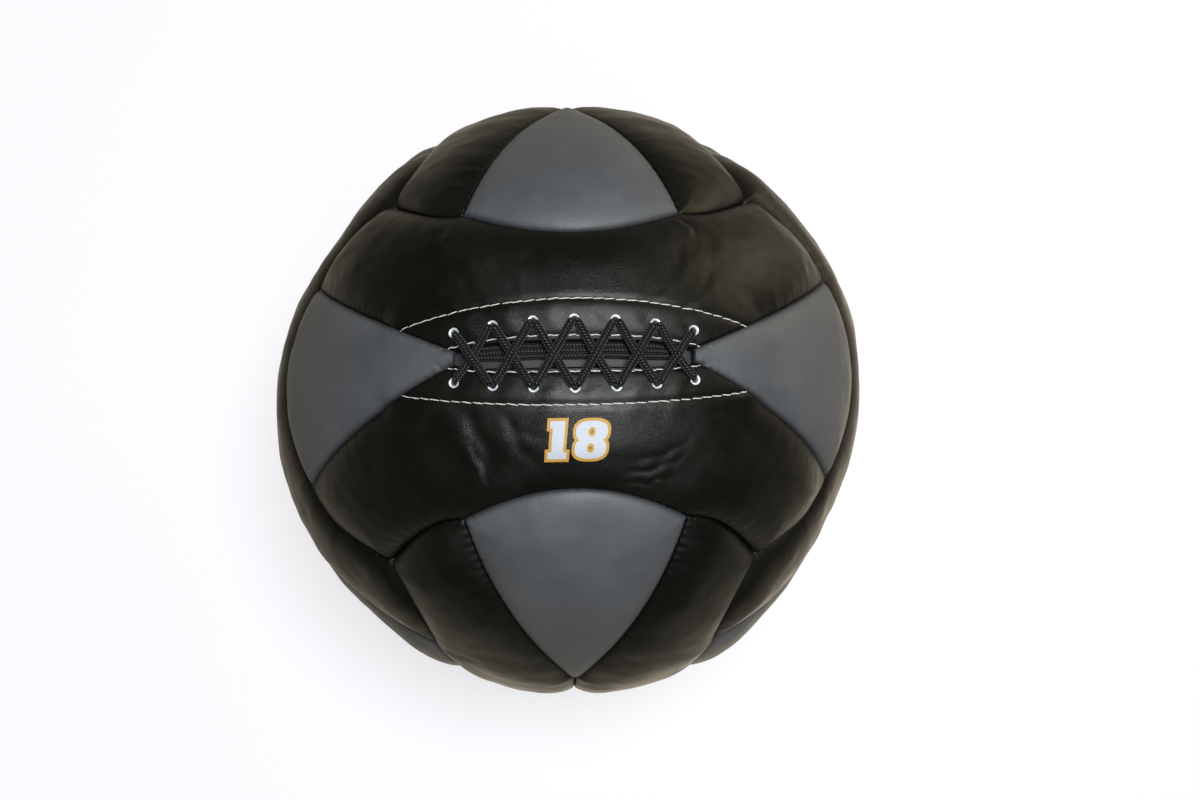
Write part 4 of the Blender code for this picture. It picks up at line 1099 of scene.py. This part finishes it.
def laceRoute():
    # a spare run in the slit, crosses to the right end, crosses back, and two more spare runs
    last = eyelets["count"] - 1

    def bore(row, k, side):
        along, across = spots[row, k]
        return along + side * lace["sideStep"], across - row * lace["pull"]

    tongueFace = crown - tongue["depth"]
    spare = tongueFace + tongue["lift"] + lace["tongueClear"] + lace["spareHeight"]
    firstLayer = tongueFace - tongue["wall"] - lace["tongueClear"] - lace["underHeight"]
    secondLayer = firstLayer - 2 * lace["underHeight"] - lace["layerClear"]
    low = float(leatherAt(0.0, 0.0)) + lace["gap"] + lace["halfHeight"] * lace["press"]
    high = low + 2 * lace["halfHeight"] + lace["crossingGap"]

    def spareRun(start, end, lane):
        # the runs draw together as the slit narrows
        along = np.linspace(start, end, lace["spareCount"]) * lace["spareHalfLength"]
        across = lane * lace["sparePitch"] + lace["spareShift"] + lace["spareWaver"] * np.sin(along * 190 + 2 * lane)
        across = across * slitHalfWidth(along) / mouth["slitHalfWidth"]
        return [(x, y, spare, lace["spareWidth"], lace["spareHeight"]) for x, y in zip(along, across)]

    route = spareRun(1, -1, 1) + laceDive(*bore(1, 0, 1), spare)
    for k in range(last):
        route += laceLeg(bore(1, k, 1), bore(-1, k + 1, -1), high if k == 0 else low)
        if k + 1 < last:
            route += laceUnder(bore(-1, k + 1, -1), bore(1, k + 1, 1), firstLayer)
    route += laceUnder(bore(-1, last, -1), bore(1, last, -1), firstLayer)
    for k in range(last, 0, -1):
        route += laceLeg(bore(1, k, -1), bore(-1, k - 1, 1), low if k == 1 else high)
        if k - 1 > 0:
            route += laceUnder(bore(-1, k - 1, 1), bore(1, k - 1, -1), secondLayer)
    route += laceDive(*bore(-1, 0, 1), spare)[::-1] + spareRun(-1, 1, -1)
    bend = lace["spareHalfLength"] + lace["sparePitch"] / 2
    route += [(bend, -lace["sparePitch"] / 2 + lace["spareShift"], spare, lace["spareWidth"], lace["spareHeight"])]
    return route + spareRun(1, -1, 0)


def smoothRun(points, steps):
    # cubic curves through the points; each point's slope comes from its neighbours
    before = np.vstack([2 * points[0] - points[1], points[:-2]])
    after = np.vstack([points[2:], 2 * points[-1] - points[-2]])
    run = []
    for a, b, c, d, count in zip(before, points[:-1], points[1:], after, steps):
        length = np.linalg.norm((c - b)[:3])
        t = (np.arange(count) / count)[:, None]
        slopeB = (c - a) * length / (np.linalg.norm((b - a)[:3]) + length)
        slopeC = (d - b) * length / (np.linalg.norm((d - c)[:3]) + length)
        run.append((2 * t ** 3 - 3 * t ** 2 + 1) * b + (t ** 3 - 2 * t ** 2 + t) * slopeB
                   + (3 * t ** 2 - 2 * t ** 3) * c + (t ** 3 - t ** 2) * slopeC)
    return np.vstack(run + [points[-1:]])


def laceRun():
    # middle line, half sizes and length travelled, at close steps where the lace shows
    route = np.array(laceRoute())
    points = np.hstack([place(route[:, 0], route[:, 1], route[:, 2]), route[:, 3:]])
    keep = np.concatenate([[True], np.linalg.norm(np.diff(points[:, :3], axis=0), axis=1) > lace["nearest"]])
    points = points[keep]
    run = smoothRun(points, np.full(len(points) - 1, lace["between"]))
    depth = crown - np.linalg.norm(run[:, :3], axis=1)
    # seen unless it lies below the spare runs
    step = np.where(depth > tongue["depth"] - tongue["lift"], lace["hiddenStep"], lace["shownStep"])
    way = travelled(run[:, :3])
    rings = np.concatenate([[0], np.cumsum(np.diff(way) / ((step[1:] + step[:-1]) / 2))])
    even = np.linspace(0, rings[-1], int(rings[-1]) + 1)
    return np.stack([np.interp(even, rings, column) for column in np.column_stack([run, way]).T], -1)


def laceAxes(middle):
    # across and up axes of each ring: carried along without twist, then turned to lie flat on the ball
    ahead = unit(np.gradient(middle, axis=0))
    carried = np.empty_like(middle)
    normal = unit(np.cross(ahead[0], np.cross(middle[0], ahead[0])))
    for k, way in enumerate(ahead):
        normal = normal - way * (normal @ way)
        normal = normal / np.linalg.norm(normal)
        carried[k] = normal
    side = np.cross(ahead, carried)
    out = unit(middle)
    flat = out - ahead * (out * ahead).sum(-1, keepdims=True)
    weight = np.linalg.norm(flat, axis=-1)
    angle = np.arctan2((flat * side).sum(-1), (flat * carried).sum(-1))
    sure = np.flatnonzero(weight > lace["flatEnough"])
    angle = np.interp(np.arange(len(middle)), sure, np.unwrap(2 * angle[sure]) / 2)
    up = carried * np.cos(angle)[:, None] + side * np.sin(angle)[:, None]
    return np.cross(up, ahead), up


def addLace():
    run = laceRun()
    middle, way = run[:, :3], run[:, 5]
    side, up = laceAxes(middle)
    columns, count = lace["columns"], lace["columns"] * lace["pointsAColumn"]
    turn = np.arange(count + 1) / lace["pointsAColumn"]
    angle = (turn * math.tau / columns)[None]
    # plaits lean one way in one column and the other way in the next; each is a rounded ridge along
    # the lace that dies out towards its column's sides
    within = (turn % 1) - 0.5
    slant = np.where(np.floor(turn) % 2 == 0, 1, -1)
    phase = way[:, None] / lace["cell"] + (within * slant * lace["lean"] * 2 + slant / 4)[None]
    fade = (1 - lace["plaitFade"] * (2 * np.abs(within)) ** 3)[None]
    plait = (0.5 + 0.5 * np.cos(math.tau * phase)) ** lace["plaitRound"] * fade
    end = np.clip(np.minimum(way, way[-1] - way) / lace["capLength"], 0, 1)
    cap = np.sqrt(1 - (1 - end) ** 2)[:, None]
    size = np.minimum(run[:, 3:4] / lace["halfWidth"], 1)
    swell = lace["plait"] * size * (plait - lace["plaitLevel"])
    wide = (run[:, 3:4] + swell) * cap
    tall = (run[:, 4:5] + swell) * cap
    # a rounded oblong: cosine and sine raised to a power below one
    c, s = (np.sign(part) * np.abs(part) ** lace["squareness"] for part in (np.cos(angle), np.sin(angle)))
    points = middle[:, None] + side[:, None] * (c * wide)[..., None] + up[:, None] * (s * tall)[..., None]
    rows = len(middle)
    quads = wrapped(rows, count + 1, False, False)
    uv = np.stack(np.broadcast_arrays(turn[None], way[:, None] / lace["cell"]), -1).reshape(-1, 2)[quads]
    piece = makeObject("lace_braid_cord", points.reshape(-1, 3), quads, smoothAngle=80,
                       values={"plait": plait * np.ones((rows, 1))}, uv=uv)
    settle(piece, braid, "lace_braid", "lace")
    print(f"lace made: {way[-1]:.3f} m, {rows} rings")


addLace()

# Number: a plain eighteen printed white with an amber outline

number = {
    "along": 0.0009, "across": -0.0428, "slant": 0.10, "outline": 0.0015, "cell": 0.0009, "lift": 0.00015,
    "ink": 0.00010, "oneAlong": -0.0099, "eightAlong": 0.0068, "reach": 0.025, "weld": 0.00001,
    # the one: half height, and half widths of stem, foot and flag, and height of foot and flag
    "halfHeight": 0.0094, "stem": 0.0030, "foot": 0.0048, "flag": 0.0044, "footHeight": 0.0034,
    # the eight: half sizes and offsets of its two lobes and their holes
    "lobe": (0.0080, 0.0052), "lobeAcross": 0.0042, "squareness": 2.6, "hole": (0.0018, 0.0023),
    "holeAcross": 0.0040, "smallest": (0.0003, 0.0006), "rays": 160,
}


def figureRuns(grow):
    # closed outlines of both figures, grown outwards
    foot = number["halfHeight"] - number["footHeight"]
    corners = np.array([
        (-number["flag"], number["halfHeight"]), (number["stem"], number["halfHeight"]), (number["stem"], -foot),
        (number["foot"], -foot), (number["foot"], -number["halfHeight"]), (-number["foot"], -number["halfHeight"]),
        (-number["foot"], -foot), (-number["stem"], -foot), (-number["stem"], foot), (-number["flag"], foot)])
    ways = np.array([(-1, 1), (1, 1), (1, 1), (1, 1), (1, -1), (-1, -1), (-1, 1), (-1, 1), (-1, -1), (-1, -1)])
    one = corners + ways * grow + (number["oneAlong"], 0)
    # the eight's edge: the farthest place along each ray that lies in either lobe
    angle = circle(number["rays"])[:, None]
    reach = np.linspace(0, 0.014, 1401)[None]
    wide, tall = np.array(number["lobe"]) + grow
    across = np.abs(reach * np.sin(angle)) - number["lobeAcross"]
    power = number["squareness"]
    inside = (np.abs(reach * np.cos(angle)) / wide) ** power + (np.abs(across) / tall) ** power < 1
    far = np.where(inside, reach, 0).max(1)
    edge = np.stack([far * np.cos(angle[:, 0]), far * np.sin(angle[:, 0])], -1)
    turn = angle[::4, 0]
    wide, tall = np.maximum(np.array(number["hole"]) - grow, number["smallest"])
    ring = np.stack([wide * np.cos(turn), tall * np.sin(turn)], -1)
    eight = [edge] + [ring + (0, side * number["holeAcross"]) for side in (1, -1)]
    return [one] + [part + (number["eightAlong"], 0) for part in eight]


def addNumber(name, grow, lift, material):
    # the figures' filled outlines are cut into small cells, which are then laid on the leather
    curve = bpy.data.curves.new(name, "CURVE")
    curve.dimensions, curve.fill_mode = "2D", "BOTH"
    for run in figureRuns(grow):
        spline = curve.splines.new("POLY")
        spline.points.add(len(run) - 1)
        spline.points.foreach_set("co", np.column_stack([run, 0 * run[:, 0], 0 * run[:, 0] + 1]).ravel())
        spline.use_cyclic_u = True
    source = stand(name, curve)
    bpy.context.view_layer.update()
    flat = bpy.data.meshes.new_from_object(source.evaluated_get(bpy.context.evaluated_depsgraph_get()))
    bpy.data.objects.remove(source)
    bpy.data.curves.remove(curve)
    work = bmesh.new()
    work.from_mesh(flat)
    bmesh.ops.remove_doubles(work, verts=work.verts, dist=number["weld"])
    for axis in (0, 1):
        for level in np.arange(-number["reach"], number["reach"], number["cell"]):
            spot, way = [0, 0, 0], [0, 0, 0]
            spot[axis], way[axis] = float(level), 1
            bmesh.ops.bisect_plane(work, geom=work.verts[:] + work.edges[:] + work.faces[:],
                                   dist=0.000001, plane_co=spot, plane_no=way)
    work.verts.index_update()
    count = len(work.verts)
    flatPoints = np.array([vert.co for vert in work.verts])
    topFaces = [[vert.index for vert in face.verts] for face in work.faces]
    rim = [[vert.index for vert in edge.verts] for edge in work.edges if edge.is_boundary]
    work.free()
    along = flatPoints[:, 0] + number["slant"] * flatPoints[:, 1] + number["along"]
    across = flatPoints[:, 1] + number["across"]
    radius = leatherAt(along, across)
    points = np.vstack([place(along, across, radius + lift), place(along, across, radius + lift - number["ink"] * 3)])
    faceList = topFaces + [[k + count for k in face[::-1]] for face in topFaces]
    faceList += [[a, b, b + count, a + count] for a, b in rim]
    settle(makeObject(name, points, faceList, smoothAngle=30), material, "black_leather")


addNumber("number_outline", number["outline"], number["lift"], amberInk)
addNumber("number_figure", 0.0, number["lift"] + number["ink"], whiteInk)
print("number made")

# Filling: the pieces inside keep their shapes from the frame

for node, material in (("liner", linerCotton), ("stuffing", stuffingFibre), ("stuffing_wad", stuffingFibre),
                       ("ballast_sack", sackCanvas), ("ballast", ballastGrit), ("sack_tie", tieString)):
    bpy.data.objects[node].material_slots[0].material = material

# Stage, lights and camera

camera = {
    "lens": 38.31, "shiftX": 0.0256, "shiftY": 0.00025, "distance": 0.801,
    "yaw": 0.01677, "tilt": 0.12982, "roll": 0.01493,
}
studio = {"radius": 6.0, "cove": 1.5, "height": 5.0, "sides": 96}
lights = {     # spot, size, power, colour
    "key": ((1.7, 1.2, 0.58), 1.05, 7.2, (1.0, 0.88, 0.64)),
    "front": ((0.26, 0.13, 2.1), 0.72, 37, (0.86, 0.93, 1.0)),
    "low": ((0.25, -0.7, 1.75), 0.6, 3.4, (0.75, 0.87, 1.0)),
}


def addStage():
    # a round sheet of paper that curves up into a wall
    bend = np.linspace(0, math.pi / 2, 13)
    rise = studio["radius"] - studio["cove"] * (1 - np.sin(bend))
    out = np.concatenate([[0.001, 1, 2, 3], rise, [studio["radius"]]])
    up = np.concatenate([[0, 0, 0, 0], studio["cove"] * (1 - np.cos(bend)), [studio["height"]]])
    angle = circle(studio["sides"])[:, None]
    points = np.stack([out * np.cos(angle), out * np.sin(angle), up + 0 * angle], -1).reshape(-1, 3)
    faceList = wrapped(studio["sides"], len(out), True, False).tolist()
    faceList.append([k * len(out) for k in range(studio["sides"])])
    mesh = bpy.data.meshes.new("floor")
    mesh.from_pydata(points, [], faceList)
    mesh.shade_smooth()
    floor = stand("floor", mesh)
    # the paper glows white to the camera, and the glow fades out right under the ball into a painted shadow round it;
    # what it throws on the ball is dimmer and warmer, with a glow of painted bounce light
    material, tree = shaderMaterial("floor_paper", Base_Color=(0.42, 0.36, 0.27, 1), Roughness=0.9,
                                    Emission_Color=(1, 0.88, 0.68, 1))
    shader = tree.nodes["Principled BSDF"]
    paper = addNode(tree, "ShaderNodeBsdfDiffuse", {"Color": (0.33, 0.325, 0.32, 1)})
    spot = objectSpot(tree)
    far = addNode(tree, "ShaderNodeVectorMath", {0: spot}, operation="LENGTH").outputs["Value"]
    # painted bounce light: a glow that is brighter close by, most of all on the key light's side
    beside = addNode(tree, "ShaderNodeVectorMath", {0: spot, 1: (0.05, 0.015, 0)}, operation="DISTANCE")
    paintedBounceGlow = combine(tree, "ADD", ramp(tree, far, 1.5, 3.0, 0.09, 0.0),
                     ramp(tree, beside.outputs["Value"], 0.20, 0.40, 1.25, 0.0))
    tree.links.new(paintedBounceGlow, shader.inputs["Emission Strength"])
    # the glow fades out towards where the ball rests: a painted shadow round it
    glow = addNode(tree, "ShaderNodeEmission", {"Color": (0.97, 0.955, 0.98, 1),
                                                "Strength": ramp(tree, far, 0.03, 0.21, 0.0, 0.75)})
    seen = addNode(tree, "ShaderNodeAddShader", {0: paper.outputs[0], 1: glow.outputs[0]})
    path = addNode(tree, "ShaderNodeLightPath")
    mixed = addNode(tree, "ShaderNodeMixShader", {0: path.outputs["Is Camera Ray"], 1: shader.outputs[0],
                                                  2: seen.outputs[0]})
    tree.links.new(mixed.outputs[0], tree.nodes["Material Output"].inputs["Surface"])
    mesh.materials.append(material)


def addLight(name, spot, size, power, colour):
    data = bpy.data.lights.new(name, "AREA")
    data.shape, data.size, data.energy, data.color = "DISK", size, power, colour
    light = stand(name, data)
    light.location = spot
    light.rotation_mode = "QUATERNION"
    light.visible_camera = False
    light.rotation_quaternion = Vector(centre - np.array(spot)).to_track_quat("-Z", "Y")


def turnFrom(first, second, angle):
    # a turn in the plane of two axes
    matrix = np.eye(3)
    matrix[first, first] = matrix[second, second] = math.cos(angle)
    matrix[first, second], matrix[second, first] = math.sin(angle), -math.sin(angle)
    return matrix


def addCamera():
    turn = (turnFrom(1, 0, camera["roll"]) @ turnFrom(1, 2, camera["tilt"]) @ turnFrom(0, 2, camera["yaw"])).T
    data = bpy.data.cameras.new("camera")
    data.lens = camera["lens"]
    data.shift_x, data.shift_y = camera["shiftX"], camera["shiftY"]
    matrix = Matrix(turn.tolist()).to_4x4()
    matrix.translation = centre + turn @ np.array([0, 0, camera["distance"]])
    eye = stand("camera", data)
    eye.matrix_world = matrix
    bpy.context.scene.camera = eye


addStage()
for name, values in lights.items():
    addLight(name, *values)
world = bpy.data.worlds.new("studio")
world.use_nodes = True
background = world.node_tree.nodes["Background"]
background.inputs["Color"].default_value = (1, 0.95, 0.87, 1)
background.inputs["Strength"].default_value = 0.07
bpy.context.scene.world = world
bpy.context.scene.view_settings.view_transform = "Standard"
addCamera()
